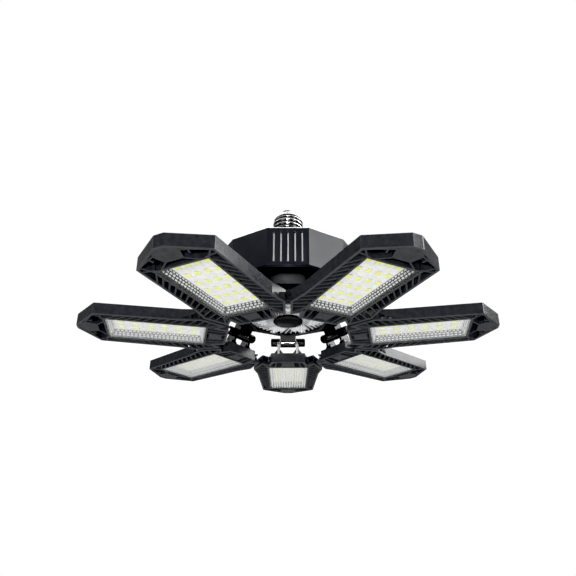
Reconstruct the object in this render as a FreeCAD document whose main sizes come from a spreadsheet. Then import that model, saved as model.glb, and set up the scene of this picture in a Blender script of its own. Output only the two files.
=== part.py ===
import FreeCAD, Part
import math
import os
import re
import Sketcher
from FreeCAD import Placement, Rotation, Vector

# A screw-in garage light: a driver housing under a screw cap, a stem, a seven sided hub
# and seven LED panels that tilt on friction hinges. +Z is up, the origin is the middle of
# the centre contact's flat top, and the light hangs below it. Azimuth -90 degrees is the front.

doc = FreeCAD.newDocument("GarageLight")
sheet = doc.addObject("Spreadsheet::Sheet", "Sizes")

SIZES = [
    # screw cap
    ("contact_radius", 4.8), ("contact_height", 3.0), ("contact_stem_radius", 1.2),
    ("insulator_height", 5.5), ("insulator_radius", 9.6), ("insulator_depth", 5.0),
    ("shell_height", 17.4), ("shell_wall", 0.5), ("thread_radius", 13.2), ("thread_depth", 1.0),
    ("thread_pitch", 3.63), ("thread_turns", 3), ("shell_flare", 0.5),
    # driver housing
    ("neck_height", 28.4), ("collar_radius", 15.0), ("collar_height", 6.0), ("collar_bore", 9.0),
    ("spigot_height", 8.0), ("neck_foot", 4.0),
    ("housing_sides", 12), ("housing_radius", 60.0), ("housing_height", 33.0), ("housing_draft", 1.0),
    ("housing_bevel", 1.4), ("housing_wall", 2.0),
    ("slot_count", 5), ("slot_pitch", 5.2), ("slot_width", 1.1), ("slot_length", 24.8),
    ("spreader_wall", 1.0),
    ("cover_recess", 24.0), ("cover_thickness", 2.4), ("cover_bore", 9.0),
    ("cover_skirt_wall", 1.6), ("cover_skirt_setback", 1.0), ("cover_flange", 1.2),
    ("boss_count", 4), ("boss_circle", 43.0), ("boss_radius", 4.0), ("boss_turn", 45.0),
    # driver
    ("board_radius", 36.0), ("board_thickness", 1.6), ("post_height", 3.0), ("post_radius", 2.6),
    ("post_circle", 30.0), ("post_count", 3), ("peg_radius", 1.2),
    ("transformer_length", 24.0), ("transformer_width", 20.0), ("transformer_height", 11.0),
    ("transformer_offset", 8.0),
    ("capacitor_radius", 5.5), ("capacitor_height", 14.0), ("capacitor_spread", 8.0),
    ("capacitor_offset", 18.0),
    ("lead_radius", 0.8), ("lead_spread", 4.0),
    # stem and hub
    ("hinge_drop", 17.5), ("stem_radius", 15.5), ("stem_wall", 4.5),
    ("hub_rise", 9.4), ("hub_thickness", 9.5), ("hub_web", 5.5), ("hub_apothem", 33.2), ("hub_wall", 3.0),
    ("flange_apothem", 46.0), ("flange_thickness", 5.0),
    ("hub_bore", 6.0), ("stem_screw_count", 3), ("stem_screw_turn", 60.0),
    ("hub_board_thickness", 0.8),
    ("reflector_thickness", 1.2), ("reflector_fin_count", 42), ("reflector_fin_height", 2.0),
    ("reflector_fin_width", 0.9), ("reflector_fin_sweep", 30.0),
    ("ear_width", 12.5), ("ear_start", 18.0), ("ear_length", 6.0), ("tab_width", 5.0),
    ("tab_screw_circle", 27.5),
    ("cap_disc_radius", 12.0), ("cap_disc_thickness", 1.8), ("cap_disc_dome", 0.8), ("cap_neck_radius", 7.0),
    # hinges
    ("panel_count", 7), ("hinge_radius", 52.6), ("hinge_height", 20.1),
    ("tongue_half_width", 7.0), ("tongue_radius", 4.5), ("tongue_slot_half", 6.0), ("tongue_slot_width", 2.2),
    ("tongue_slot_slope", 0.37),
    ("pin_radius", 1.5), ("knuckle_radius", 4.0), ("leg_thickness", 2.4),
    ("knob_radius", 3.9), ("knob_length", 6.0), ("knob_rounding", 1.5),
    ("foot_half_width", 15.2), ("foot_start", 52.4), ("foot_length", 11.6), ("foot_thickness", 1.6),
    ("foot_screw_spread", 12.3), ("bracket_screw_length", 6.0),
    ("gusset_height", 4.5), ("gusset_spread", 2.8), ("gusset_length", 4.0),
    # panel frame, measured from the light's axis and from the panel's middle line
    ("panel_depth", 8.4), ("skirt_wall", 1.6),
    ("inner_reach", 49.0), ("inner_half_width", 15.0),
    ("notch_reach", 57.6), ("notch_half_width", 17.5),
    ("shoulder_reach", 52.0), ("shoulder_half_width", 23.2),
    ("wide_reach", 70.2), ("wide_half_width", 32.1),
    ("crease_reach", 84.0), ("crease_half_width", 29.4),
    ("corner_reach", 144.4), ("corner_half_width", 26.8),
    ("tip_reach", 158.4), ("tip_half_width", 3.4),
    ("rim_bar", 1.3), ("shoulder_bar", 2.6),
    ("window_start", 65.8), ("window_length", 71.6), ("window_half_width", 18.2),
    ("tray_wall", 1.2), ("tray_back", 0.8), ("roof_thickness", 1.2),
    ("rib_count", 12), ("rib_pitch", 6.3), ("rib_width", 1.1), ("rib_height", 5.4), ("rib_setback", 0.3),
    ("rib_slant", 27.0), ("rib_slant_step", 2.4),
    ("fin_count", 5), ("fin_width", 1.2), ("fin_rise", 1.2),
    # panel insides
    ("lens_setback", 0.75), ("lens_thickness", 1.0), ("lens_wall", 0.9),
    ("led_board_thickness", 1.0), ("chip_columns", 4), ("chip_rows", 6), ("chip_pitch_across", 7.2),
    ("chip_pitch_along", 10.7), ("chip_length", 4.6), ("chip_width", 4.2), ("chip_height", 0.7),
    ("lens_depth", 4.4),
    # fits and fasteners
    ("fit_clearance", 0.05), ("seat_clearance", 0.15), ("swing_clearance", 0.3),
    ("screw_radius", 1.5), ("screw_length", 9.0), ("screw_head_radius", 2.7), ("screw_head_height", 1.6),
    ("small_screw_radius", 1.0), ("small_screw_length", 4.0), ("small_head_radius", 1.9),
    ("small_head_height", 1.2),
]

for row, (alias, millimetres) in enumerate(SIZES, start=1):
    sheet.set(f"A{row}", alias)
    sheet.set(f"B{row}", str(millimetres))
    sheet.setAlias(f"B{row}", alias)
doc.recompute()

WORDS = re.compile(r"\b(" + "|".join(alias for alias, _ in SIZES) + r")\b")

# Levels, downward from the top of the centre contact.
SEAT = "(-contact_height - insulator_height - shell_height)"
ROOF = f"({SEAT} - neck_height)"
LIP = f"({ROOF} - housing_height)"
COVER = f"({LIP} + cover_recess)"
DRIVER = f"({COVER} + cover_thickness + post_height)"
HINGE = f"({LIP} - hinge_drop)"
HUB = f"({HINGE} + hub_rise)"
RIM = f"({HINGE} - hinge_height)"
FIRST_ANGLE = "(180 / panel_count - 90)"


def formula(text):
    """The text with each size's name pointing at its cell."""
    return WORDS.sub(r"Sizes.\1", text)


def number(text):
    """The value that a formula has now."""
    return float(sheet.evalExpression(formula(text)))


def count(alias):
    return int(round(number(alias)))


def bind(thing, **formulas):
    """Tie properties to formulas; a double underscore stands for a dot."""
    for name, text in formulas.items():
        thing.setExpression(name.replace("__", "."), formula(text))
    return thing


def turned(thing, angle):
    """Tie a turn about Z to a formula."""
    thing.Placement = Placement(thing.Placement.Base, Rotation(Vector(0, 0, 1), 1))
    return bind(thing, Placement__Rotation__Angle=angle)


def origin_plane(body, role):
    return next(plane for plane in body.Origin.OriginFeatures if plane.Role == role)


def tie_point(sketch, edge, point, texts):
    """Hold one end of an edge at two formulas, measured from the sketch's origin."""
    for kind, axis, text, letter in zip(("DistanceX", "DistanceY"), (-2, -1), texts, "xy"):
        start = number(text)
        if abs(start) < 1e-9:
            sketch.addConstraint(Sketcher.Constraint("PointOnObject", edge, point, axis))
            continue
        place = sketch.addConstraint(Sketcher.Constraint(kind, -1, 1, edge, point, start))
        name = f"{letter}{edge}"
        sketch.renameConstraint(place, name)
        sketch.setExpression(f"Constraints.{name}", formula(text))


def draw_outline(sketch, corners):
    """A closed outline of straight edges, each corner a pair of formulas."""
    places = [Vector(number(x), number(y), 0) for x, y in corners]
    first = sketch.GeometryCount
    total = len(corners)
    for index in range(total):
        sketch.addGeometry(Part.LineSegment(places[index], places[(index + 1) % total]))
    for index in range(total):
        following = first + (index + 1) % total
        sketch.addConstraint(Sketcher.Constraint("Coincident", first + index, 2, following, 1))
    for index in range(total):
        tie_point(sketch, first + index, 1, corners[index])


def draw_circle(sketch, middle, radius):
    """A circle with its middle and radius tied to formulas."""
    place = Vector(number(middle[0]), number(middle[1]), 0)
    edge = sketch.addGeometry(Part.Circle(place, Vector(0, 0, 1), number(radius)))
    tie_point(sketch, edge, 3, middle)
    held = sketch.addConstraint(Sketcher.Constraint("Radius", edge, number(radius)))
    sketch.renameConstraint(held, f"r{edge}")
    sketch.setExpression(f"Constraints.r{edge}", formula(radius))


def new_body(label):
    body = doc.addObject("PartDesign::Body", label)
    body.Label = label
    return body


def new_sketch(body, outlines=(), circles=(), plane="XY_Plane", level="0"):
    sketch = body.newObject("Sketcher::SketchObject", f"{body.Name}_sketch")
    sketch.AttachmentSupport = [(origin_plane(body, plane), "")]
    sketch.MapMode = "FlatFace"
    for corners in outlines:
        draw_outline(sketch, corners)
    for middle, radius in circles:
        draw_circle(sketch, middle, radius)
    bind(sketch, AttachmentOffset__Base__z=level)
    sketch.Visibility = False
    return sketch


def pad(body, sketch, length, down=False, both_ways=False):
    feature = body.newObject("PartDesign::Pad", f"{body.Name}_pad")
    feature.Profile = sketch
    feature.Reversed = down
    feature.Midplane = both_ways
    return bind(feature, Length=length)


def pocket(body, sketch, length, up=False, both_ways=False):
    """Cut a sketch away, downward unless up; a cut that removes nothing is an error."""
    doc.recompute()
    before = body.Shape.Volume
    feature = body.newObject("PartDesign::Pocket", f"{body.Name}_pocket")
    feature.Profile = sketch
    feature.Reversed = up
    feature.Midplane = both_ways
    bind(feature, Length=length)
    doc.recompute()
    if body.Shape.Volume > before - 1e-6:
        raise RuntimeError(f"{feature.Name} in {body.Label} cuts nothing")
    return feature


def revolve(label, corners):
    """A turned piece: its outline in the XZ plane, spun about Z."""
    body = new_body(label)
    sketch = new_sketch(body, outlines=[corners], plane="XZ_Plane")
    feature = body.newObject("PartDesign::Revolution", f"{label}_turn")
    feature.Profile = sketch
    feature.ReferenceAxis = (sketch, ["V_Axis"])
    feature.Angle = 360
    return body


def repeat_round(body, features, copies):
    """Copies of features evenly round Z."""
    pattern = body.newObject("PartDesign::PolarPattern", f"{body.Name}_round")
    pattern.Originals = features
    pattern.Axis = (origin_plane(body, "Z_Axis"), [""])
    pattern.Angle = 360
    pattern.Occurrences = copies
    body.Tip = pattern
    return pattern


def regular(sides, radius, first_angle=0.0):
    """Corners of a regular polygon about the origin, as formulas."""
    angles = [first_angle + 360.0 * index / sides for index in range(sides)]
    return [(f"({radius}) * cos({angle:.9f})", f"({radius}) * sin({angle:.9f})") for angle in angles]


def oblong(low_x, high_x, half_y):
    return [(low_x, f"-({half_y})"), (high_x, f"-({half_y})"), (high_x, half_y), (low_x, half_y)]


def block(name, x, y, z, length, width, height):
    """A box with its low corner and its three sides tied to formulas."""
    box = doc.addObject("Part::Box", name)
    bind(box, Length=length, Width=width, Height=height)
    return bind(box, Placement__Base__x=x, Placement__Base__y=y, Placement__Base__z=z)


def rod(name, x, y, z, radius, height):
    """An upright cylinder tied to formulas."""
    cylinder = doc.addObject("Part::Cylinder", name)
    bind(cylinder, Radius=radius, Height=height)
    return bind(cylinder, Placement__Base__x=x, Placement__Base__y=y, Placement__Base__z=z)


def bar(name, start, finish, low, width, height):
    """A straight bar on edge between two points of the XY plane, all formulas."""
    run = f"(({finish[0]}) - ({start[0]}))"
    rise = f"(({finish[1]}) - ({start[1]}))"
    length = f"sqrt({run} * {run} + {rise} * {rise})"
    box = doc.addObject("Part::Box", name)
    bind(box, Length=length, Width=width, Height=height)
    turned(box, f"atan2({rise}; {run})")
    return bind(
        box,
        Placement__Base__x=f"({start[0]}) + ({width}) / 2 * {rise} / {length}",
        Placement__Base__y=f"({start[1]}) - ({width}) / 2 * {run} / {length}",
        Placement__Base__z=low,
    )


def fuse(label, pieces):
    joined = doc.addObject("Part::MultiFuse", label)
    joined.Label = label
    joined.Shapes = pieces
    joined.Refine = True
    return joined


def cut(label, base, tool):
    remainder = doc.addObject("Part::Cut", label)
    remainder.Label = label
    remainder.Base = base
    remainder.Tool = tool
    remainder.Refine = True
    return remainder


def group(label, pieces):
    """Separate solids that share one node."""
    together = doc.addObject("Part::Compound", label)
    together.Label = label
    together.Links = pieces
    return together


def screw(name, x, y, head_level, radius, length, head_radius, head_height, head_up=True):
    """A plain screw along Z whose head bears on head_level."""
    if head_up:
        shank = rod(f"{name}_shank", x, y, f"({head_level}) - ({length})", radius, length)
        head = rod(f"{name}_head", x, y, head_level, head_radius, head_height)
    else:
        shank = rod(f"{name}_shank", x, y, head_level, radius, length)
        head = rod(f"{name}_head", x, y, f"({head_level}) - ({head_height})", head_radius, head_height)
    return fuse(name, [shank, head])


def on_circle(radius, angle):
    return f"({radius}) * cos({angle:.9f})", f"({radius}) * sin({angle:.9f})"


parts = []


# ---------------------------------------------------------------- screw cap
def make_screw_cap():
    root_radius = "thread_radius - thread_depth"
    bore = f"{root_radius} - shell_wall"
    profile = [(bore, "0"), ("thread_radius + shell_flare", "0"), (root_radius, "1.2")]
    start = "shell_height - 2 - thread_turns * thread_pitch"
    for turn in range(count("thread_turns")):
        foot = f"{start} + {turn} * thread_pitch"
        profile += [
            (root_radius, f"{foot} + 0.10 * thread_pitch"),
            ("thread_radius", f"{foot} + 0.38 * thread_pitch"),
            ("thread_radius", f"{foot} + 0.62 * thread_pitch"),
            (root_radius, f"{foot} + 0.90 * thread_pitch"),
        ]
    profile += [
        (root_radius, "shell_height - 2"),
        ("insulator_radius", "shell_height"),
        ("insulator_radius - 0.8", "shell_height"),
        ("insulator_radius - 0.8", "shell_height - 2 * shell_wall"),
        (bore, "shell_height - 2 - shell_wall"),
    ]
    shell = revolve("screw_shell", profile)
    bind(shell, Placement__Base__z=SEAT)

    spigot = "insulator_radius - 0.8 - fit_clearance"
    lead_bore = "contact_stem_radius + fit_clearance"
    insulator = revolve("cap_insulator", [
        (lead_bore, "-insulator_depth"),
        (spigot, "-insulator_depth"),
        (spigot, "0"),
        ("insulator_radius", "0"),
        ("insulator_radius", "1"),
        ("contact_radius + 0.4", "insulator_height"),
        (lead_bore, "insulator_height"),
    ])
    bind(insulator, Placement__Base__z=f"{SEAT} + shell_height")

    contact = revolve("centre_contact", [
        ("0", "-contact_height - insulator_height"),
        ("contact_stem_radius", "-contact_height - insulator_height"),
        ("contact_stem_radius", "-contact_height"),
        ("contact_radius", "-contact_height"),
        ("contact_radius", "-0.4 * contact_height"),
        ("0.7 * contact_radius", "0"),
        ("0", "0"),
    ])
    parts.extend([shell, insulator, contact])


# ---------------------------------------------------------------- driver housing
HOUSING_TURN = 360.0 / count("housing_sides") / 2.0
INNER_APOTHEM_FACTOR = f"cos({HOUSING_TURN:.9f})"
CAVITY = f"(housing_radius - housing_draft - housing_wall / {INNER_APOTHEM_FACTOR})"
NECK_FOOT = "(collar_radius + neck_foot)"
CONE_TOP = "(neck_height - collar_height)"


def housing_polygon(radius):
    return regular(count("housing_sides"), radius, HOUSING_TURN)


def add_loft(body, kind, stations):
    """A loft between polygons at stations of (radius, level)."""
    sketches = [new_sketch(body, [housing_polygon(radius)], level=level) for radius, level in stations]
    feature = body.newObject(f"PartDesign::{kind}", f"{body.Name}_loft")
    feature.Profile = sketches[0]
    feature.Sections = [(sketch, [""]) for sketch in sketches[1:]]
    feature.Ruled = True
    return feature


def make_driver_housing():
    """A faceted cup, open below, whose roof rises to the collar that carries the screw cap."""
    body = new_body("driver_housing")
    add_loft(body, "AdditiveLoft", [
        ("housing_radius - housing_draft - housing_bevel", "-housing_height"),
        ("housing_radius - housing_draft", "housing_bevel - housing_height"),
        ("housing_radius", "-housing_bevel"),
        ("housing_radius - housing_bevel", "0"),
        (NECK_FOOT, CONE_TOP),
    ])
    pad(body, new_sketch(body, circles=[(("0", "0"), "collar_radius")], level=CONE_TOP), "collar_height")
    spigot_radius = "thread_radius - thread_depth - shell_wall - fit_clearance"
    spigot = new_sketch(body, circles=[(("0", "0"), spigot_radius)], level="neck_height")
    pad(body, spigot, "spigot_height")
    floor = new_sketch(body, [housing_polygon(CAVITY)], level="-housing_height")
    pocket(body, floor, "housing_height - housing_wall", up=True)
    doc.recompute()
    add_loft(body, "SubtractiveLoft", [
        (CAVITY, "-housing_wall - 0.01"),
        ("collar_radius", f"{CONE_TOP} - housing_wall"),
    ])
    bore = new_sketch(body, circles=[(("0", "0"), "collar_bore")], level="-housing_wall")
    pocket(body, bore, "neck_height + spigot_height + housing_wall", up=True)
    # columns for the cover's screws hang from the roof
    slope = f"(neck_height - collar_height) / (housing_radius - housing_bevel - {NECK_FOOT})"
    column_top = f"{slope} * (housing_radius - housing_bevel - boss_circle - boss_radius) * 0.93"
    column_foot = "cover_recess + cover_thickness - housing_height"
    column_place = on_circle("boss_circle", number("boss_turn"))
    column_sketch = new_sketch(body, circles=[(column_place, "boss_radius")], level=column_foot)
    column = pad(body, column_sketch, f"{column_top} - ({column_foot})")
    doc.recompute()
    repeat_round(body, [column], count("boss_count"))
    pilot = new_sketch(body, circles=[(column_place, "screw_radius + fit_clearance")], level=column_foot)
    pilot_cut = pocket(body, pilot, "screw_length", up=True)
    repeat_round(body, [pilot_cut], count("boss_count"))
    # upright slots in every third facet, the front one among them
    low = "-(housing_height + slot_length) / 2"
    high = "(slot_length - housing_height) / 2"
    slots = []
    total = count("slot_count")
    for index in range(total):
        middle = f"{index - (total - 1) / 2} * slot_pitch"
        slots.append([
            (f"{middle} - slot_width / 2", low), (f"{middle} + slot_width / 2", low),
            (f"{middle} + slot_width / 2", high), (f"{middle} - slot_width / 2", high),
        ])
    wall_start = f"(housing_radius - housing_draft) * {INNER_APOTHEM_FACTOR} - housing_wall - 1"
    sketch = new_sketch(body, slots, plane="XZ_Plane", level=wall_start)
    slot_cut = pocket(body, sketch, "2 * housing_wall + housing_draft + 2", up=True)
    repeat_round(body, [slot_cut], 4)
    bind(body, Placement__Base__z=ROOF)
    return body


def make_heat_spreader():
    """A folded aluminium sleeve against the housing's wall, standing on the cover's flange."""
    body = new_body("heat_spreader")
    outer = f"{CAVITY} - seat_clearance"
    sketch = new_sketch(body, [housing_polygon(outer), housing_polygon(f"{outer} - spreader_wall")])
    pad(body, sketch, "housing_height - cover_skirt_setback - cover_flange - housing_wall - swing_clearance")
    bind(body, Placement__Base__z=f"{LIP} + cover_skirt_setback + cover_flange")
    return body


def boss_places():
    total = count("boss_count")
    return [on_circle("boss_circle", number("boss_turn") + 360.0 * index / total) for index in range(total)]


def post_places():
    total = count("post_count")
    return [on_circle("post_circle", number("boss_turn") + 360.0 * index / total) for index in range(total)]


def stem_screw_places(turn=0.0):
    """Where the stem's screws stand, as seen from a body turned by some degrees."""
    total = count("stem_screw_count")
    start = number("stem_screw_turn") - turn
    return [on_circle("stem_radius - stem_wall / 2", start + 360.0 * index / total) for index in range(total)]


def make_housing_cover():
    """A deep tray that closes the housing from below, with posts and pegs for the driver board."""
    body = new_body("housing_cover")
    tray = f"({CAVITY} - 2 * seat_clearance - spreader_wall)"
    hollow = f"({tray} - cover_skirt_wall)"
    pad(body, new_sketch(body, [housing_polygon(tray)]), "cover_thickness")
    skirt_foot = "cover_skirt_setback - cover_recess"
    skirt = new_sketch(body, [housing_polygon(tray), housing_polygon(hollow)], level=skirt_foot)
    pad(body, skirt, "cover_recess - cover_skirt_setback")
    flange = new_sketch(body, [housing_polygon(f"{CAVITY} - seat_clearance"), housing_polygon(hollow)],
                        level=skirt_foot)
    pad(body, flange, "cover_flange")
    posts = new_sketch(body, circles=[(place, "post_radius") for place in post_places()],
                       level="cover_thickness")
    pad(body, posts, "post_height")
    pegs = new_sketch(body, circles=[(place, "peg_radius") for place in post_places()],
                      level="cover_thickness + post_height")
    pad(body, pegs, "board_thickness + 0.6")
    holes = [(("0", "0"), "cover_bore")]
    holes += [(place, "screw_radius + fit_clearance") for place in boss_places() + stem_screw_places()]
    pocket(body, new_sketch(body, circles=holes), "cover_thickness", up=True)
    bind(body, Placement__Base__z=COVER)
    return body


def make_housing_screws():
    screws = []
    for index, (x, y) in enumerate(boss_places()):
        screws.append(screw(f"housing_screw_{index + 1}", x, y, "0", "screw_radius", "screw_length",
                            "screw_head_radius", "screw_head_height", head_up=False))
    screws = group("housing_screws", screws)
    return bind(screws, Placement__Base__z=COVER)


def make_driver():
    """The board on its posts, with the parts that stand on it."""
    board = new_body("driver_board")
    holes = [(place, "peg_radius + fit_clearance") for place in post_places()]
    holes += [(place, "lead_radius + fit_clearance")
              for place in (("lead_spread", "0"), ("-lead_spread", "0"))]
    pad(board, new_sketch(board, circles=[(("0", "0"), "board_radius")] + holes), "board_thickness")
    bind(board, Placement__Base__z=DRIVER)

    core = block("transformer_core", "-transformer_length / 2", "transformer_offset", "0",
                 "transformer_length", "transformer_width", "transformer_height")
    winding = block(
        "transformer_winding", "-transformer_length / 2 - 2", "transformer_offset + transformer_width * 0.2",
        "1.5", "transformer_length + 4", "transformer_width * 0.6", "transformer_height - 3")
    transformer = fuse("driver_transformer", [core, winding])
    bind(transformer, Placement__Base__z=f"{DRIVER} + board_thickness")

    cans = [rod(f"capacitor_{index + 1}", f"{side} * capacitor_spread", "-capacitor_offset", "0",
                "capacitor_radius", "capacitor_height") for index, side in enumerate((-1, 1))]
    capacitors = group("driver_capacitors", cans)
    bind(capacitors, Placement__Base__z=f"{DRIVER} + board_thickness")
    parts.extend([board, transformer, capacitors])


def make_lead_wires():
    """Insulated wires: two up the neck to the screw cap and two down the stem to the hub."""
    board_top = f"({DRIVER} + board_thickness)"
    contact_foot = "(-contact_height - insulator_height)"
    to_contact = rod("lead_to_contact", "0", "0", board_top, "lead_radius", f"{contact_foot} - {board_top}")
    offset = "(collar_bore - lead_radius - 0.5)"
    bend = f"({SEAT} + spigot_height + lead_radius + 0.3)"
    upright = rod("lead_to_shell_upright", offset, "0", board_top, "lead_radius",
                  f"{bend} + lead_radius - {board_top}")
    reach = f"thread_radius - thread_depth - shell_wall - fit_clearance - {offset}"
    across = doc.addObject("Part::Cylinder", "lead_to_shell_across")
    across.Placement = Placement(Vector(), Rotation(Vector(0, 1, 0), 90))
    bind(across, Radius="lead_radius", Height=reach, Placement__Base__x=offset, Placement__Base__z=bend)
    to_shell = fuse("lead_to_shell", [upright, across])
    down = [rod(f"lead_to_hub_{index + 1}", f"{side} * lead_spread", "0", f"{HUB} - hub_web",
                "lead_radius", f"{board_top} - ({HUB} - hub_web)") for index, side in enumerate((-1, 1))]
    return group("lead_wires", [to_contact, to_shell] + down)


# ---------------------------------------------------------------- stem and hub
def make_stem():
    """The column between the housing's cover and the hub."""
    body = new_body("stem")
    length = f"{COVER} - {HUB}"
    ring = new_sketch(body, circles=[(("0", "0"), "stem_radius"), (("0", "0"), "stem_radius - stem_wall")])
    pad(body, ring, length)
    pilots = [(place, "screw_radius + fit_clearance") for place in stem_screw_places()]
    pocket(body, new_sketch(body, circles=pilots), length, up=True)
    bind(body, Placement__Base__z=HUB)
    return body


def make_stem_screws():
    """Screws down through the cover and up through the hub, all into the stem."""
    screws = []
    sizes = ("screw_radius", "screw_length", "screw_head_radius", "screw_head_height")
    for index, (x, y) in enumerate(stem_screw_places()):
        screws.append(screw(f"stem_screw_top_{index + 1}", x, y, f"{COVER} + cover_thickness", *sizes))
        screws.append(screw(f"stem_screw_foot_{index + 1}", x, y,
                            f"{HUB} - hub_web + screw_head_height", *sizes, head_up=False))
    return group("stem_screws", screws)


def hub_polygon(apothem):
    sides = count("panel_count")
    return regular(sides, f"({apothem}) / cos({180.0 / sides:.9f})")


def hub_gap_angle(index):
    return 180.0 / count("panel_count") + index * 360.0 / count("panel_count")


def make_hub_plate():
    """The seven sided hub: a flange with a hinge tongue under each corner, and a cup open below."""
    body = new_body("hub_plate")
    pad(body, new_sketch(body, [hub_polygon("hub_apothem")], level="-hub_thickness"), "hub_thickness")
    flange = new_sketch(body, [hub_polygon("flange_apothem")], level="-flange_thickness")
    pad(body, flange, "flange_thickness")
    # one tongue, hanging from the flange's corner to a round end about the hinge axis
    axis = ("hinge_radius", "-hub_rise")
    straight = new_sketch(body, [[
        ("flange_apothem - 1", "-flange_thickness"),
        ("hinge_radius - tongue_radius", "-hub_rise"),
        ("hinge_radius + tongue_radius", "-hub_rise"),
        ("hinge_radius", "-0.25 * flange_thickness"),
        ("flange_apothem - 1", "-0.25 * flange_thickness"),
    ]], plane="XZ_Plane")
    arm = pad(body, straight, "2 * tongue_half_width", both_ways=True)
    barrel = pad(body, new_sketch(body, circles=[(axis, "tongue_radius")], plane="XZ_Plane"),
                 "2 * tongue_half_width", both_ways=True)
    bore_sketch = new_sketch(body, circles=[(axis, "pin_radius + fit_clearance")], plane="XZ_Plane")
    bore = pocket(body, bore_sketch, "2 * tongue_half_width + 2", both_ways=True)
    # a slot from the hub's side bares the pin
    slot_end = "(hinge_radius - tongue_radius - 4)"
    slot_drop = "tongue_slot_slope * (tongue_radius + 4)"
    slot_sketch = new_sketch(body, [[
        ("hinge_radius", "-hub_rise + tongue_slot_width / 2"),
        (slot_end, f"-hub_rise + tongue_slot_width / 2 - {slot_drop}"),
        (slot_end, f"-hub_rise - tongue_slot_width / 2 - {slot_drop}"),
        ("hinge_radius", "-hub_rise - tongue_slot_width / 2"),
    ]], plane="XZ_Plane")
    slot = pocket(body, slot_sketch, "2 * tongue_slot_half", both_ways=True)
    repeat_round(body, [arm, barrel, bore, slot], count("panel_count"))
    lowest = "-hub_rise - tongue_radius"
    recess = new_sketch(body, [hub_polygon("hub_apothem - hub_wall")], level=lowest)
    pocket(body, recess, f"-({lowest}) - hub_web", up=True)
    holes = [(("0", "0"), "hub_bore")]
    screw_places = stem_screw_places(number(FIRST_ANGLE))
    holes += [(place, "screw_radius + fit_clearance") for place in screw_places]
    pocket(body, new_sketch(body, circles=holes, level="-hub_web"), "hub_web", up=True)
    head_seats = [(place, "screw_head_radius + fit_clearance") for place in screw_places]
    pocket(body, new_sketch(body, circles=head_seats, level="-hub_web"), "screw_head_height", up=True)
    pilots = [(on_circle("tab_screw_circle", hub_gap_angle(index)), "small_screw_radius + fit_clearance")
              for index in range(count("panel_count"))]
    pocket(body, new_sketch(body, circles=pilots, level="-hub_web"), "hub_web - 0.4", up=True)
    turned(body, FIRST_ANGLE)
    return bind(body, Placement__Base__z=HUB)


def make_hub_board():
    """The round board under the hub's web that shares the current among the panels."""
    body = new_body("hub_board")
    radius = "tab_screw_circle - small_head_radius - 1"
    pad(body, new_sketch(body, circles=[(("0", "0"), radius)]), "hub_board_thickness")
    return bind(body, Placement__Base__z=f"{HUB} - hub_web - hub_board_thickness")


def make_hub_reflector():
    """The bright finned plate round the hub cap: swept fins, with a raised ear and tab per gap."""
    body = new_body("hub_reflector")
    plate = "hub_apothem - hub_wall - seat_clearance"
    pad(body, new_sketch(body, [hub_polygon(plate)]), "reflector_thickness")
    start, finish = "(cap_disc_radius - 1)", f"({plate} - 1)"
    sweep = f"({finish} * sin(reflector_fin_sweep))"
    reach = f"({finish} * cos(reflector_fin_sweep))"
    fin_sketch = new_sketch(body, [[
        (start, "-reflector_fin_width / 2"), (reach, f"{sweep} - reflector_fin_width / 2"),
        (reach, f"{sweep} + reflector_fin_width / 2"), (start, "reflector_fin_width / 2"),
    ]])
    fin = pad(body, fin_sketch, "reflector_fin_height", down=True)
    doc.recompute()
    repeat_round(body, [fin], count("reflector_fin_count"))
    gap = hub_gap_angle(0)
    ears = []
    for half_width, low, high in (("ear_width / 2", "ear_start", "ear_start + ear_length"),
                                  ("tab_width / 2", "ear_start + ear_length - 1", f"{plate} - 0.2")):
        corners = []
        for along, across in oblong(low, high, half_width):
            corners.append((f"({along}) * cos({gap:.9f}) - ({across}) * sin({gap:.9f})",
                            f"({along}) * sin({gap:.9f}) + ({across}) * cos({gap:.9f})"))
        ears.append(pad(body, new_sketch(body, [corners]), "reflector_fin_height + 0.4", down=True))
    doc.recompute()
    repeat_round(body, ears, count("panel_count"))
    holes = [(on_circle("tab_screw_circle", hub_gap_angle(index)), "small_screw_radius + fit_clearance")
             for index in range(count("panel_count"))]
    drill = new_sketch(body, circles=holes, level="-reflector_fin_height - 1")
    pocket(body, drill, "reflector_thickness + reflector_fin_height + 1", up=True)
    turned(body, FIRST_ANGLE)
    return bind(body, Placement__Base__z=f"{HUB} - hub_web - hub_board_thickness - reflector_thickness")


def make_reflector_screws():
    screws = []
    for index in range(count("panel_count")):
        x, y = on_circle("tab_screw_circle", hub_gap_angle(index))
        screws.append(screw(
            f"reflector_screw_{index + 1}", x, y, "-reflector_fin_height - 0.4", "small_screw_radius",
            "small_screw_length + reflector_fin_height", "small_head_radius", "small_head_height",
            head_up=False))
    screws = group("reflector_screws", screws)
    turned(screws, FIRST_ANGLE)
    return bind(screws, Placement__Base__z=f"{HUB} - hub_web - hub_board_thickness - reflector_thickness")


def make_hub_cap():
    """The black disc in the middle of the hub, slightly domed, on a short neck."""
    gap = "reflector_fin_height"
    body = revolve("hub_cap", [
        ("0", "0"), ("cap_neck_radius", "0"), ("cap_neck_radius", f"-{gap} - 0.3"),
        ("cap_disc_radius", f"-{gap} - 0.3"), ("cap_disc_radius", f"-{gap} - 0.3 - cap_disc_thickness"),
        ("0.8 * cap_disc_radius", f"-{gap} - 0.3 - cap_disc_thickness - 0.6 * cap_disc_dome"),
        ("0", f"-{gap} - 0.3 - cap_disc_thickness - cap_disc_dome"),
    ])
    return bind(body, Placement__Base__z=f"{HUB} - hub_web - hub_board_thickness - reflector_thickness")


# ---------------------------------------------------------------- panels
WINDOW_END = "(window_start + window_length)"
TRAY_DEPTH = "(lens_setback + lens_thickness + lens_depth + led_board_thickness)"
FOOT_SCREW_REACH = "foot_start + foot_length / 2"
BOSS_FOOT = "(panel_depth + foot_thickness - bracket_screw_length - 1)"


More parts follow.
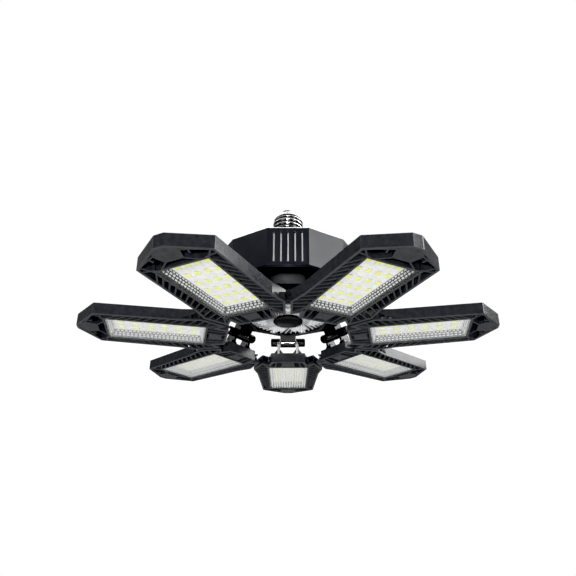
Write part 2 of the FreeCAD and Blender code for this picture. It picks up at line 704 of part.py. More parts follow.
def panel_corners():
    """Half of the panel's outline from the middle of the inner end to the tip, then mirrored."""
    half = [
        ("inner_reach", "inner_half_width"), ("notch_reach", "notch_half_width"),
        ("shoulder_reach", "shoulder_half_width"), ("wide_reach", "wide_half_width"),
        ("crease_reach", "crease_half_width"), ("corner_reach", "corner_half_width"),
        ("tip_reach", "tip_half_width"),
    ]
    mirrored = [(reach, f"-{width}") for reach, width in half]
    return mirrored + half[::-1]


def make_skirt():
    """The panel's outer wall, cut away low between the crease and the shoulder."""
    body = new_body("panel_skirt")
    outline = pad(body, new_sketch(body, [panel_corners()]), "panel_depth")
    doc.recompute()
    flat = [f"Face{index + 1}" for index, face in enumerate(outline.Shape.Faces)
            if abs(face.normalAt(0, 0).z) > 0.9]
    wall = body.newObject("PartDesign::Thickness", "panel_wall")
    wall.Base = (outline, flat)
    wall.Mode = 0
    wall.Join = 1
    wall.Reversed = True
    bind(wall, Value="skirt_wall")
    doc.recompute()
    side = new_sketch(body, [[
        ("crease_reach", "rim_bar"), ("wide_reach", "panel_depth - rim_bar"), ("wide_reach", "rim_bar"),
    ]], plane="XZ_Plane")
    pocket(body, side, "4 * wide_half_width", both_ways=True)
    sides = []
    for sign in ("-", ""):
        sides.append([
            ("inner_reach + skirt_wall", f"{sign}notch_half_width"),
            ("wide_reach", f"{sign}notch_half_width"),
            ("wide_reach", f"{sign}(wide_half_width + 1)"),
            ("inner_reach + skirt_wall", f"{sign}(wide_half_width + 1)"),
        ])
    pocket(body, new_sketch(body, sides, level="shoulder_bar"), "panel_depth", up=True)
    return body


def make_outline_solid():
    """The space inside the panel's outline, used to trim the ribs."""
    body = new_body("panel_space")
    pad(body, new_sketch(body, [panel_corners()]), "panel_depth")
    return body


def make_ribs():
    """The open border: slanted ribs along both sides, and the fan of bars at each end."""
    edge = "(window_half_width + tray_wall / 2)"
    outer = "(wide_half_width + 1)"
    ribs = []

    def rib(start, finish):
        for sign in (1, -1):
            name = f"rib_{len(ribs) + 1}"
            ends = [(reach, f"{sign} * ({width})") for reach, width in (start, finish)]
            ribs.append(bar(name, *ends, "rib_setback", "rib_width", "rib_height"))

    for index in range(count("rib_count")):
        slant = f"(rib_slant + {index} * rib_slant_step)"
        start = f"(window_start + 1.5 + {index} * rib_pitch)"
        rib((start, edge), (f"{start} - ({outer} - {edge}) * tan({slant})", outer))
    # the outer end: spokes from the tip plate to the corners and to the window
    plate_wide, plate_low = "(tip_reach - 6.9)", "(tip_reach - 15)"
    rib((plate_wide, "9.0"), ("corner_reach + 0.2", "corner_half_width - 1.5"))
    rib((plate_low, "6.2"), (WINDOW_END, "window_half_width - 3.5"))
    rib(("corner_reach - 0.2", "corner_half_width - 3"), (WINDOW_END, "window_half_width"))
    rib(("corner_reach - 4", "corner_half_width"), ("corner_reach - 5.4", "window_half_width - 1"))
    rib(("corner_reach + 2", "corner_half_width - 14.5"), ("corner_reach + 8", "corner_half_width - 13"))
    # the inner end: bars beside the middle gusset and across each shoulder
    rib(("inner_reach + 1", "4.5"), ("window_start", "6"))
    rib(("inner_reach + 1", "10"), ("window_start", "12"))
    rib(("inner_reach + 1", "13.0"), ("window_start", "17.5"))
    rib(("notch_reach + 0.5", "notch_half_width + 1.5"), ("window_start", "window_half_width + 0.5"))
    rib(("shoulder_reach + 2.5", "shoulder_half_width"), ("window_start + 0.5", "window_half_width + 0.5"))
    return fuse("panel_ribs", ribs)


def plate(label, corners, level, thickness):
    """A flat plate from an outline, for fusing."""
    body = new_body(label)
    pad(body, new_sketch(body, [corners], level=level), thickness)
    return body


def make_panel_frame():
    """Skirt, ribs, lamp tray, end plates and heat fins as one moulding."""
    trimmed = doc.addObject("Part::MultiCommon", "panel_ribs_trimmed")
    trimmed.Shapes = [make_ribs(), make_outline_solid()]
    tray_outer = block(
        "tray_outer", "window_start - tray_wall", "-window_half_width - tray_wall", "0",
        "window_length + 2 * tray_wall", "2 * (window_half_width + tray_wall)", f"{TRAY_DEPTH} + tray_back")
    tray_inner = block(
        "tray_inner", "window_start", "-window_half_width", "-1",
        "window_length", "2 * window_half_width", f"{TRAY_DEPTH} + 1")
    tip = plate("panel_tip_plate", [
        ("tip_reach - 15", "-6.4"), ("tip_reach - 6.9", "-9.4"), ("tip_reach - 1", "-4.6"),
        ("tip_reach - 1", "4.6"), ("tip_reach - 6.9", "9.4"), ("tip_reach - 15", "6.4"),
    ], "rib_setback", "rib_height * 0.5")
    gusset = plate("panel_gusset", [
        ("inner_reach + 4", "-5"), ("window_start - 3", "-6"),
        ("window_start - 3", "6"), ("inner_reach + 4", "5"),
    ], "rib_setback", "rib_height * 0.3")
    # the back is closed over both ends and open over the louvres; its edge lies within the wall
    inset = "skirt_wall / 3"
    roof_half = [
        (f"inner_reach + {inset}", f"inner_half_width - {inset}"),
        (f"notch_reach + 2 * {inset}", f"notch_half_width - {inset} / 2"),
        (f"shoulder_reach + 2 * {inset}", f"shoulder_half_width - {inset} / 2"),
        (f"wide_reach + {inset}", f"wide_half_width - 1.5 * {inset}"),
        ("crease_reach", f"crease_half_width - {inset}"),
    ]
    end_half = [
        (WINDOW_END, f"corner_half_width - {inset}"), ("corner_reach", f"corner_half_width - {inset}"),
        (f"tip_reach - {inset}", f"tip_half_width - {inset} / 2"),
    ]
    pieces = [make_skirt(), trimmed, tray_outer, tip, gusset]
    for label, half in (("panel_roof", roof_half), ("panel_end_roof", end_half)):
        outline = [(reach, f"-({width})") for reach, width in half] + half[::-1]
        pieces.append(plate(label, outline, "panel_depth - roof_thickness", "roof_thickness"))
    for sign in (-1, 1):
        pieces.append(rod(
            f"foot_boss_{sign + 2}", FOOT_SCREW_REACH, f"{sign} * foot_screw_spread",
            BOSS_FOOT, "screw_head_radius", f"panel_depth - {BOSS_FOOT}"))
    total = count("fin_count")
    for index in range(total):
        middle = f"{index - (total - 1) / 2} * 2 * window_half_width / fin_count"
        pieces.append(block(f"heat_fin_{index + 1}", "window_start - tray_wall", f"{middle} - fin_width / 2",
                            f"{TRAY_DEPTH} + tray_back / 2", "window_length + 2 * tray_wall", "fin_width",
                            f"panel_depth + fin_rise - {TRAY_DEPTH} - tray_back / 2"))
    joined = fuse("panel_frame_joined", pieces)
    pilot_foot = "panel_depth + foot_thickness - bracket_screw_length"
    hollows = group("panel_hollows", [tray_inner] + [
        rod(f"foot_pilot_{sign + 2}", FOOT_SCREW_REACH, f"{sign} * foot_screw_spread",
            pilot_foot, "screw_radius + fit_clearance", "screw_length")
        for sign in (-1, 1)])
    return cut("panel_frame_master", joined, hollows)


def make_led_board():
    """The white lamp board with its rows of chips soldered on."""
    gap = "seat_clearance"
    board = block("led_board_plate", f"window_start + {gap}", f"-window_half_width + {gap}",
                  f"{TRAY_DEPTH} - led_board_thickness", f"window_length - 2 * {gap}",
                  f"2 * window_half_width - 2 * {gap}", "led_board_thickness")
    chips = [board]
    rows, columns = count("chip_rows"), count("chip_columns")
    for row in range(rows):
        for column in range(columns):
            along = f"window_start + window_length / 2 + {row - (rows - 1) / 2} * chip_pitch_along"
            across = f"{column - (columns - 1) / 2} * chip_pitch_across"
            chips.append(block(
                f"chip_{row + 1}_{column + 1}", f"{along} - chip_length / 2", f"{across} - chip_width / 2",
                f"{TRAY_DEPTH} - led_board_thickness - chip_height",
                "chip_length", "chip_width", "chip_height"))
    return fuse("led_board_master", chips)


def make_lens():
    """The clear cover: a plate with a low wall that stands on the lamp board."""
    gap = "seat_clearance"
    inner_gap = f"{gap} + lens_wall"
    outer = block(
        "lens_outer", f"window_start + {gap}", f"-window_half_width + {gap}", "lens_setback",
        f"window_length - 2 * {gap}", f"2 * window_half_width - 2 * {gap}", "lens_thickness + lens_depth")
    inner = block(
        "lens_inner", f"window_start + {inner_gap}", f"-window_half_width + {inner_gap}",
        "lens_setback + lens_thickness", f"window_length - 2 * ({inner_gap})",
        f"2 * window_half_width - 2 * ({inner_gap})", "lens_depth + 1")
    return cut("lens_master", outer, inner)


LEG_INNER = "(tongue_half_width + swing_clearance)"
LEG_OUTER = f"({LEG_INNER} + leg_thickness)"


def make_bracket():
    """The hinge bracket: a foot on the frame's back and two legs that clasp the tongue."""
    body = new_body("bracket_master")
    axis = ("hinge_radius", "hinge_height")
    foot_top = "(panel_depth + foot_thickness)"
    leg = new_sketch(body, [[
        ("foot_start", "panel_depth"), ("foot_start + foot_length", "panel_depth"),
        ("foot_start + foot_length", foot_top),
        ("hinge_radius + 0.6 * knuckle_radius", "hinge_height + 0.8 * knuckle_radius"),
        ("hinge_radius - 0.8 * knuckle_radius", "hinge_height - 0.6 * knuckle_radius"),
    ]], plane="XZ_Plane")
    pad(body, leg, f"2 * {LEG_OUTER}", both_ways=True)
    knuckle = new_sketch(body, circles=[(axis, "knuckle_radius")], plane="XZ_Plane")
    pad(body, knuckle, f"2 * {LEG_OUTER}", both_ways=True)
    doc.recompute()
    between = new_sketch(body, [[
        ("hinge_radius - 2 * knuckle_radius", f"-{LEG_INNER}"),
        ("foot_start + foot_length + 1", f"-{LEG_INNER}"),
        ("foot_start + foot_length + 1", LEG_INNER),
        ("hinge_radius - 2 * knuckle_radius", LEG_INNER),
    ]], level=foot_top)
    pocket(body, between, "2 * hinge_height", up=True)
    inside = new_sketch(body, [oblong(
        "hinge_radius - 2 * knuckle_radius", "foot_start", LEG_INNER)], level="0")
    pocket(body, inside, "2 * hinge_height", up=True)
    foot = new_sketch(body, [oblong("foot_start", "foot_start + foot_length", "foot_half_width")],
                      level="panel_depth")
    pad(body, foot, "foot_thickness")
    # each leg flares where it meets the foot
    flares = []
    for sign in ("-", ""):
        flares.append([
            (f"{sign}({LEG_INNER} - gusset_spread)", f"{foot_top} - foot_thickness / 2"),
            (f"{sign}({LEG_OUTER} + gusset_spread)", f"{foot_top} - foot_thickness / 2"),
            (f"{sign}({LEG_OUTER} + gusset_spread)", foot_top),
            (f"{sign}({LEG_OUTER} - leg_thickness / 4)", f"{foot_top} + gusset_height"),
            (f"{sign}({LEG_INNER} + leg_thickness / 4)", f"{foot_top} + gusset_height"),
            (f"{sign}({LEG_INNER} - gusset_spread)", foot_top),
        ])
    pad(body, new_sketch(body, flares, plane="YZ_Plane", level="foot_start"), "gusset_length")
    bore = new_sketch(body, circles=[(axis, "pin_radius + fit_clearance")], plane="XZ_Plane")
    pocket(body, bore, f"3 * {LEG_OUTER}", both_ways=True)
    screws = [((FOOT_SCREW_REACH, f"{sign} * foot_screw_spread"), "screw_radius + fit_clearance")
              for sign in (-1, 1)]
    pocket(body, new_sketch(body, circles=screws, level="panel_depth"), "2 * hinge_height", up=True)
    seats = [(place, "screw_head_radius + fit_clearance") for place, _ in screws]
    pocket(body, new_sketch(body, circles=seats, level=foot_top), "2 * hinge_height", up=True)
    return body


def make_hinge_bolt():
    """The bolt through tongue and legs, with a round knob at one end and a knob nut at the other."""
    reach = f"({LEG_OUTER} + knob_length)"
    knob = [
        ("knob_radius", LEG_OUTER), ("knob_radius", f"{reach} - knob_rounding"),
        ("knob_radius - knob_rounding", reach),
    ]
    bolt = revolve("hinge_bolt_turned", [
        ("0", f"-{reach} + knob_rounding"), ("pin_radius", f"-{reach} + knob_rounding"),
        ("pin_radius", LEG_OUTER)] + knob + [("0", reach)])
    bore = "pin_radius + fit_clearance"
    nut = revolve("hinge_nut_turned", [
        (bore, f"-{LEG_OUTER}"), ("knob_radius", f"-{LEG_OUTER}"),
        ("knob_radius", f"-{reach} + knob_rounding"), ("knob_radius - knob_rounding", f"-{reach}"),
        (bore, f"-{reach}"),
    ])
    both = group("hinge_bolt_master", [bolt, nut])
    both.Placement = Placement(Vector(), Rotation(Vector(1, 0, 0), 90))
    return bind(both, Placement__Base__x="hinge_radius", Placement__Base__z="hinge_height")


def make_bracket_screws():
    foot_top = "panel_depth + foot_thickness"
    screws = [screw(
        f"bracket_screw_{index + 1}", FOOT_SCREW_REACH, f"{sign} * foot_screw_spread", foot_top,
        "screw_radius", "bracket_screw_length", "screw_head_radius", "screw_head_height")
        for index, sign in enumerate((-1, 1))]
    return group("bracket_screws_master", screws)


def make_panels():
    """Each panel piece is modelled once and set round the hub at the panel's angle."""
    masters = {
        "frame": make_panel_frame(), "led_board": make_led_board(), "lens": make_lens(),
        "bracket": make_bracket(), "hinge_bolt": make_hinge_bolt(), "bracket_screws": make_bracket_screws(),
    }
    for index in range(count("panel_count")):
        for piece, master in masters.items():
            copy = group(f"panel_{index + 1}_{piece}", [master])
            turned(copy, f"{FIRST_ANGLE} + {index} * 360 / panel_count")
            parts.append(bind(copy, Placement__Base__z=RIM))


make_screw_cap()
parts.extend([
    make_driver_housing(), make_heat_spreader(), make_housing_cover(), make_housing_screws(),
])
make_driver()
parts.extend([
    make_lead_wires(), make_stem(), make_stem_screws(), make_hub_plate(), make_hub_board(),
    make_hub_reflector(), make_reflector_screws(), make_hub_cap(),
])
make_panels()
doc.recompute()

for thing in doc.Objects:
    if any(word in ("Invalid", "Error") for word in thing.State):
        raise RuntimeError(f"{thing.Label} failed: {thing.State}")
os.makedirs("parts", exist_ok=True)
for part in parts:
    shape = part.Shape
    if shape.isNull() or not shape.isValid() or not shape.Solids:
        raise RuntimeError(f"{part.Label} is not a valid solid")
    shape.exportStep(f"parts/{part.Label}.step")
print(f"{len(parts)} nodes, {math.fsum(part.Shape.Volume for part in parts) / 1000:.1f} cubic centimetres")
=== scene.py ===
"""The looks of a screw-in garage light: seven louvred lamp panels on hinges round a black hub,
under a faceted driver housing with a screw cap. Shapes are written in millimetres about the
middle of the centre contact's top, +Z up, and every mesh is scaled to metres as it is made."""
import math
import bmesh
import bpy
from mathutils import Matrix, Vector


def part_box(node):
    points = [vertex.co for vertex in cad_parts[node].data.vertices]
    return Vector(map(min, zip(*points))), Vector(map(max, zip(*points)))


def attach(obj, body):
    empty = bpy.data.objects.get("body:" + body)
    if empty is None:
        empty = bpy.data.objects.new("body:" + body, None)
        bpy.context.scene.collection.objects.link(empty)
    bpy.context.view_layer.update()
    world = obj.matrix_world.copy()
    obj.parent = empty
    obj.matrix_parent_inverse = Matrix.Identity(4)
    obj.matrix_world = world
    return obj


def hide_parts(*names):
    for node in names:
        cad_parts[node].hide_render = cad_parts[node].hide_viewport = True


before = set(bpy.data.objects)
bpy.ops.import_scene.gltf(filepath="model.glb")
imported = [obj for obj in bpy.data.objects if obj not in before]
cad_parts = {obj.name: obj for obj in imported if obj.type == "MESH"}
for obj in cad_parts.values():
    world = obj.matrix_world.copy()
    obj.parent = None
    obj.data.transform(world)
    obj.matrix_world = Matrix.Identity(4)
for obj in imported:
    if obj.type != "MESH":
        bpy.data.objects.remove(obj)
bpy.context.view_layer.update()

MM = 0.001
PANELS = 7
FIRST_PANEL = -90 + 180 / PANELS      # azimuth of panel 1, in degrees
RIM = -124.9                          # level of the panels' front rims
SEAT = -25.9                          # foot of the screw cap's shell
EAR_DROP = 0.4                        # how far the reflector's ears stand below its fins
FIN_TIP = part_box("hub_reflector")[0].z / MM + EAR_DROP


# ---------------------------------------------------------------- materials
MIX_FACTOR, MIX_FIRST, MIX_SECOND, MIX_RESULT = 0, 6, 7, 2    # the colour sockets of a Mix node
RANGE_SOCKETS = ("From Min", "From Max", "To Min", "To Max")


def scaled(tone, factor):
    """A colour made paler or darker by one factor."""
    return tuple(factor * part for part in tone)


class Shader:
    """A Principled material with the few node chains that these surfaces need."""

    def __init__(self, name, **constants):
        self.material = bpy.data.materials.new(name)
        self.material.use_nodes = True
        self.tree = self.material.node_tree
        self.principled = self.tree.nodes["Principled BSDF"]
        self.place = self.tree.nodes.new("ShaderNodeTexCoord").outputs["Object"]
        self.normal = None
        for socket, value in constants.items():
            self.principled.inputs[socket.replace("_", " ")].default_value = value

    def link(self, source, target):
        self.tree.links.new(source, target)

    def stretched(self, scale):
        """Object coordinates scaled by three numbers."""
        node = self.tree.nodes.new("ShaderNodeMapping")
        node.inputs["Scale"].default_value = scale
        self.link(self.place, node.inputs["Vector"])
        return node.outputs["Vector"]

    def along(self, axis):
        """The object coordinate along X, Y or Z, in metres."""
        node = self.tree.nodes.new("ShaderNodeSeparateXYZ")
        self.link(self.place, node.inputs["Vector"])
        return node.outputs[axis]

    def wave(self, axis, spacing):
        """A sine from -1 to 1 along an axis, with its crests spacing millimetres apart."""
        return self.calc("SINE", self.calc("MULTIPLY", self.along(axis), 2 * math.pi / (spacing * MM)))

    def noise(self, size, detail, place=None):
        """Noise whose blotches are about size millimetres wide."""
        node = self.tree.nodes.new("ShaderNodeTexNoise")
        node.inputs["Scale"].default_value = 1 / (size * MM)
        node.inputs["Detail"].default_value = detail
        node.inputs["Roughness"].default_value = 0.55
        self.link(place or self.place, node.inputs["Vector"])
        return node.outputs["Fac"]

    def cell_borders(self, size):
        """Distance to the nearest border in a net of cells about size millimetres wide."""
        node = self.tree.nodes.new("ShaderNodeTexVoronoi")
        node.feature = "DISTANCE_TO_EDGE"
        node.inputs["Scale"].default_value = 1 / (size * MM)
        self.link(self.place, node.inputs["Vector"])
        return node.outputs["Distance"]

    def edges(self):
        """How sharply the surface turns, about 0.5 where it is flat."""
        return self.tree.nodes.new("ShaderNodeNewGeometry").outputs["Pointiness"]

    def calc(self, operation, first, second=0.0):
        """One step of arithmetic on two values, each a socket or a number."""
        node = self.tree.nodes.new("ShaderNodeMath")
        node.operation = operation
        for socket, value in zip(node.inputs, (first, second)):
            if isinstance(value, (int, float)):
                socket.default_value = value
            else:
                self.link(value, socket)
        return node.outputs["Value"]

    def spread(self, fac, low, high, to_low=0.0, to_high=1.0):
        """fac between low and high, brought to between to_low and to_high."""
        node = self.tree.nodes.new("ShaderNodeMapRange")
        for socket, value in zip(RANGE_SOCKETS, (low, high, to_low, to_high)):
            node.inputs[socket].default_value = value
        self.link(fac, node.inputs["Value"])
        return node.outputs["Result"]

    def mixed(self, fac, first, second):
        """Two colours blended by fac, each a socket or a tuple."""
        node = self.tree.nodes.new("ShaderNodeMix")
        node.data_type = "RGBA"
        self.link(fac, node.inputs[MIX_FACTOR])
        for socket, value in zip((node.inputs[MIX_FIRST], node.inputs[MIX_SECOND]), (first, second)):
            if isinstance(value, tuple):
                socket.default_value = (*value, 1.0)
            else:
                self.link(value, socket)
        return node.outputs[MIX_RESULT]

    def colour(self, source):
        self.link(source, self.principled.inputs["Base Color"])

    def roughness(self, source):
        self.link(source, self.principled.inputs["Roughness"])

    def alpha(self, source):
        self.link(source, self.principled.inputs["Alpha"])

    def bump(self, height, depth, strength=1.0):
        """Relief of about depth millimetres, laid over any relief before it."""
        node = self.tree.nodes.new("ShaderNodeBump")
        node.inputs["Strength"].default_value = strength
        node.inputs["Distance"].default_value = depth * MM
        self.link(height, node.inputs["Height"])
        if self.normal:
            self.link(self.normal, node.inputs["Normal"])
        self.normal = node.outputs["Normal"]
        self.link(self.normal, self.principled.inputs["Normal"])


RUBBED = (0.30, 0.31, 0.33)           # black plastic where its edges are worn


def moulded_black(name, tone, pale, gloss, grain=0.22, shine=0.4, rim=None):
    """Satin moulded plastic: fine grain, faint flow marks, and edges rubbed a little paler.
    rim is a paler tone painted on the front edges, at level 0 of the piece, as painted light that they catch."""
    shader = Shader(name, Specular_IOR_Level=shine)
    flow = shader.noise(38, 4, shader.stretched((1, 1, 0.35)))
    dust = shader.spread(shader.noise(1.6, 6), 0.60, 0.80, 0, 0.3)
    skin = shader.mixed(shader.spread(flow, 0.35, 0.65), tone, pale)
    skin = shader.mixed(dust, skin, scaled(pale, 1.5))
    if rim:
        # painted light: the front edges at level 0 drawn in the paler rim tone, in random blotches
        front = shader.spread(shader.along("Z"), 0.15 * MM, 0.6 * MM, 1.0, 0.0)
        blotches = shader.spread(shader.noise(5, 5), 0.3, 0.6, 0.75, 1.0)
        skin = shader.mixed(shader.calc("MULTIPLY", front, blotches), skin, rim)
    worn = shader.calc("MULTIPLY", shader.spread(shader.edges(), 0.54, 0.66), shader.noise(3.5, 5))
    shader.colour(shader.mixed(shader.calc("MULTIPLY", worn, 0.12), skin, RUBBED))
    shader.roughness(shader.spread(shader.noise(14, 3), 0.35, 0.65, gloss - 0.02, gloss + 0.03))
    shader.bump(shader.noise(grain, 2), 0.010)
    shader.bump(shader.noise(26, 2), 0.02, 0.1)
    return shader.material


def polished(name, tone, dull, gloss, brush=(1, 1, 1), depth=0.006, metallic=1.0, grooves=None):
    """Metal with fine drawn lines along one way and a thin uneven film.
    grooves holds the two levels, in millimetres, between which painted shade darkens it."""
    shader = Shader(name, Metallic=metallic)
    film = shader.noise(7, 4)
    lines = shader.noise(0.5, 4, shader.stretched(brush))
    skin = shader.mixed(shader.spread(film, 0.4, 0.75), tone, dull)
    if grooves:
        # painted shade: darkest deep in the grooves
        painted_groove_shade = shader.spread(shader.along("Z"), grooves[0] * MM, grooves[1] * MM, 0.0, 0.95)
        skin = shader.mixed(painted_groove_shade, skin, (0.03, 0.03, 0.032))
    shader.colour(skin)
    shader.roughness(shader.spread(lines, 0.3, 0.7, gloss, gloss + 0.16))
    shader.bump(lines, depth)
    return shader.material


def threaded_nickel():
    """Nickel with painted shade where the thread's outer face stands low, from the depth kept on the mesh."""
    shader = Shader("threaded_nickel", Metallic=1.0)
    film = shader.noise(6, 4)
    valley = shader.tree.nodes.new("ShaderNodeAttribute")
    valley.attribute_name = "valley"
    bright = shader.mixed(shader.spread(film, 0.4, 0.75), (0.86, 0.86, 0.88), (0.66, 0.65, 0.64))
    # painted shade: the nickel drawn near black where the valley weight is high
    painted_valley_shade = shader.calc("MULTIPLY", valley.outputs["Fac"], shader.spread(film, 0.2, 0.8, 1.0, 0.85))
    shader.colour(shader.mixed(painted_valley_shade, bright, (0.030, 0.030, 0.034)))
    shader.roughness(shader.spread(film, 0.3, 0.7, 0.07, 0.16))
    shader.bump(shader.noise(0.5, 4, shader.stretched((0.05, 0.05, 1))), 0.003)
    return shader.material


def circuit_board(name, mask, track, pitch):
    """A coated board: tracks under the mask show as low, slightly paler runs."""
    shader = Shader(name, Coat_Weight=0.25, Coat_Roughness=0.2)
    on_track = shader.spread(shader.cell_borders(pitch), 0.10, 0.16, 1, 0)
    speckle = shader.noise(0.9, 4)
    base = shader.mixed(on_track, mask, track)
    shader.colour(shader.mixed(shader.spread(speckle, 0.55, 0.8, 0, 0.3), base, scaled(mask, 0.8)))
    shader.roughness(shader.spread(speckle, 0.3, 0.7, 0.32, 0.46))
    shader.bump(on_track, 0.02)
    return shader.material


def phosphor():
    """The grainy yellow filling of the chips' wells."""
    shader = Shader("phosphor_yellow", Subsurface_Weight=0.12, Subsurface_Scale=0.001)
    grains = shader.noise(0.25, 4)
    shader.colour(shader.mixed(shader.spread(grains, 0.3, 0.7), (0.93, 0.90, 0.19), (0.97, 0.95, 0.32)))
    shader.roughness(shader.spread(grains, 0.3, 0.7, 0.35, 0.5))
    shader.bump(grains, 0.02)
    return shader.material


def pale_plastic(name, tone):
    """Plain light plastic with a fine grain."""
    shader = Shader(name)
    grains = shader.noise(0.5, 4)
    shader.colour(shader.mixed(shader.spread(grains, 0.35, 0.7), tone, scaled(tone, 0.86)))
    shader.roughness(shader.spread(grains, 0.3, 0.7, 0.3, 0.42))
    shader.bump(grains, 0.008)
    return shader.material


def clear_cover():
    """Clear acrylic with fine moulded flutes along the panel, which turn milky at a low angle; painted light
    and shade make their crests paler and their troughs darker.
    """
    shader = Shader("clear_cover", Specular_IOR_Level=0.6)
    haze = shader.noise(5, 5)
    flutes = shader.wave("Y", 2.6)
    low_angle = shader.tree.nodes.new("ShaderNodeLayerWeight")
    low_angle.inputs["Blend"].default_value = 0.5
    milky = shader.spread(low_angle.outputs["Facing"], 0.56, 0.74, 0.0, 0.62)
    clear = shader.spread(haze, 0.35, 0.75, 0.02, 0.06)
    ridge = shader.spread(flutes, -0.5, 0.7, 0.35, 1.0)
    shader.alpha(shader.calc("ADD", clear, shader.calc("MULTIPLY", milky, ridge)))
    # painted light and shade: the flutes' crests drawn pale, their troughs grey
    shader.colour(shader.mixed(ridge, (0.60, 0.61, 0.60), (0.97, 0.98, 0.97)))
    shader.roughness(shader.spread(haze, 0.3, 0.7, 0.08, 0.2))
    shader.bump(flutes, 0.03)
    return shader.material


def prism_studs():
    """The studs in the cover's walls, painted bright as the light that the clear prisms catch."""
    shader = Shader("prism_studs", Specular_IOR_Level=0.7)
    stud_light_noise = shader.noise(1.1, 3)
    # painted light: the studs drawn near white
    shader.colour(shader.mixed(shader.spread(stud_light_noise, 0.35, 0.7), (0.93, 0.95, 0.96), (0.70, 0.73, 0.75)))
    shader.alpha(shader.spread(stud_light_noise, 0.3, 0.7, 0.75, 0.98))
    shader.roughness(shader.spread(stud_light_noise, 0.3, 0.7, 0.15, 0.3))
    shader.bump(stud_light_noise, 0.02)
    return shader.material


def prism_gaps():
    """The valleys between the studs, painted near black as shade on the clear cover."""
    shader = Shader("prism_gaps", Specular_IOR_Level=0.6)
    gap_shade_noise = shader.noise(2.4, 4)
    dark, darkest = (0.014, 0.016, 0.021), (0.006, 0.007, 0.010)
    # painted shade: the valleys drawn dark and nearly opaque
    shader.colour(shader.mixed(shader.spread(gap_shade_noise, 0.35, 0.7), darkest, dark))
    shader.alpha(shader.spread(gap_shade_noise, 0.3, 0.7, 0.90, 0.98))
    shader.roughness(shader.spread(gap_shade_noise, 0.3, 0.7, 0.2, 0.35))
    shader.bump(gap_shade_noise, 0.01)
    return shader.material


def sleeve(name, tone, stripe, spacing, axis="X"):
    """Shrink sleeve or tape: a smooth skin with a paler stripe."""
    shader = Shader(name, Coat_Weight=0.3, Coat_Roughness=0.25)
    wrinkles = shader.noise(2.2, 4)
    banded = shader.mixed(shader.spread(shader.wave(axis, spacing), 0.86, 0.93), tone, stripe)
    shader.colour(shader.mixed(shader.spread(wrinkles, 0.5, 0.85, 0, 0.4), banded, scaled(tone, 0.6)))
    shader.roughness(shader.spread(wrinkles, 0.3, 0.7, 0.3, 0.48))
    shader.bump(wrinkles, 0.05)
    return shader.material


# black mouldings and enamel
HOUSING = moulded_black("housing_plastic", (0.0065, 0.008, 0.013), (0.009, 0.011, 0.017), 0.31, shine=0.5)
# the panels' rim tone is painted light on their front edges
PANEL = moulded_black("panel_plastic", (0.0045, 0.0052, 0.008), (0.006, 0.007, 0.011), 0.16, shine=0.24,
                      rim=(0.046, 0.047, 0.048))
HUB = moulded_black("hub_plastic", (0.003, 0.003, 0.0035), (0.005, 0.005, 0.006), 0.26, shine=0.3)
BRACKET = moulded_black("bracket_enamel", (0.004, 0.004, 0.0045), (0.006, 0.006, 0.007), 0.24, grain=0.35)
KNOB = moulded_black("knob_plastic", (0.004, 0.004, 0.005), (0.006, 0.006, 0.007), 0.16, shine=0.1)
GLASS = moulded_black("cap_insulator_glass", (0.008, 0.008, 0.010), (0.012, 0.012, 0.014), 0.12, grain=0.8)

# metals
THREAD = threaded_nickel()
STEM = polished("stem_casting", (0.34, 0.35, 0.37), (0.25, 0.26, 0.28), 0.30, (1, 1, 0.2),
                depth=0.01, metallic=0.7)
CONTACT = polished("contact_tin", (0.72, 0.69, 0.60), (0.50, 0.46, 0.38), 0.25, (1, 0.08, 1))
STEEL = polished("screw_steel", (0.66, 0.66, 0.68), (0.45, 0.44, 0.43), 0.22, (1, 0.2, 1))
PIN = polished("pin_chrome", (0.80, 0.80, 0.82), (0.60, 0.60, 0.61), 0.12, (1, 0.08, 1))
MILL = polished("mill_aluminium", (0.94, 0.95, 0.96), (0.86, 0.87, 0.88), 0.42, (1, 1, 0.04), metallic=0.1)
# the reflector gets painted shade deep between its fins
BRIGHT = polished("reflector_bright", (0.95, 0.96, 0.97), (0.86, 0.87, 0.88), 0.22, (1, 0.1, 1),
                  depth=0.004, metallic=0.3, grooves=(FIN_TIP + 0.3, FIN_TIP + 1.6))
SOLDER = polished("solder", (0.70, 0.71, 0.73), (0.50, 0.50, 0.52), 0.22)

# boards, chips, covers and the driver's parts
GREEN = circuit_board("green_board", (0.02, 0.12, 0.05), (0.05, 0.22, 0.09), 4)
WHITE = circuit_board("white_board", (0.90, 0.91, 0.89), (0.84, 0.85, 0.83), 6)
FERRITE = sleeve("transformer_tape", (0.12, 0.09, 0.02), (0.50, 0.38, 0.08), 12, "Z")
CAN = sleeve("capacitor_sleeve", (0.02, 0.03, 0.08), (0.55, 0.57, 0.62), 11)
WIRE = sleeve("wire_insulation", (0.45, 0.02, 0.015), (0.52, 0.06, 0.04), 7, "Z")
CHIP = pale_plastic("chip_body", (0.88, 0.88, 0.84))
PHOSPHOR = phosphor()
CLEAR = clear_cover()
STUDS = prism_studs()
GAPS = prism_gaps()


# ---------------------------------------------------------------- mesh helpers
def add(target, piece, move=None):
    """Join a small mesh to a larger one, moved by a matrix, and free it."""
    if move:
        bmesh.ops.transform(piece, matrix=move, verts=piece.verts)
    carrier = bpy.data.meshes.new("carrier")
    piece.to_mesh(carrier)
    target.from_mesh(carrier)
    bpy.data.meshes.remove(carrier)
    piece.free()


SHARP = math.radians(25)              # an edge that turns by more than this is rounded


def sharp_edges(piece):
    """The edges between two faces that turn by more than SHARP."""
    return [edge for edge in piece.edges if len(edge.link_faces) == 2 and edge.calc_face_angle(0) > SHARP]


def bevel(piece, edges, width):
    """Round some edges by a width, narrowed where they would meet."""
    bmesh.ops.bevel(piece, geom=edges, offset=width, segments=2, profile=0.5,
                    affect="EDGES", clamp_overlap=True)


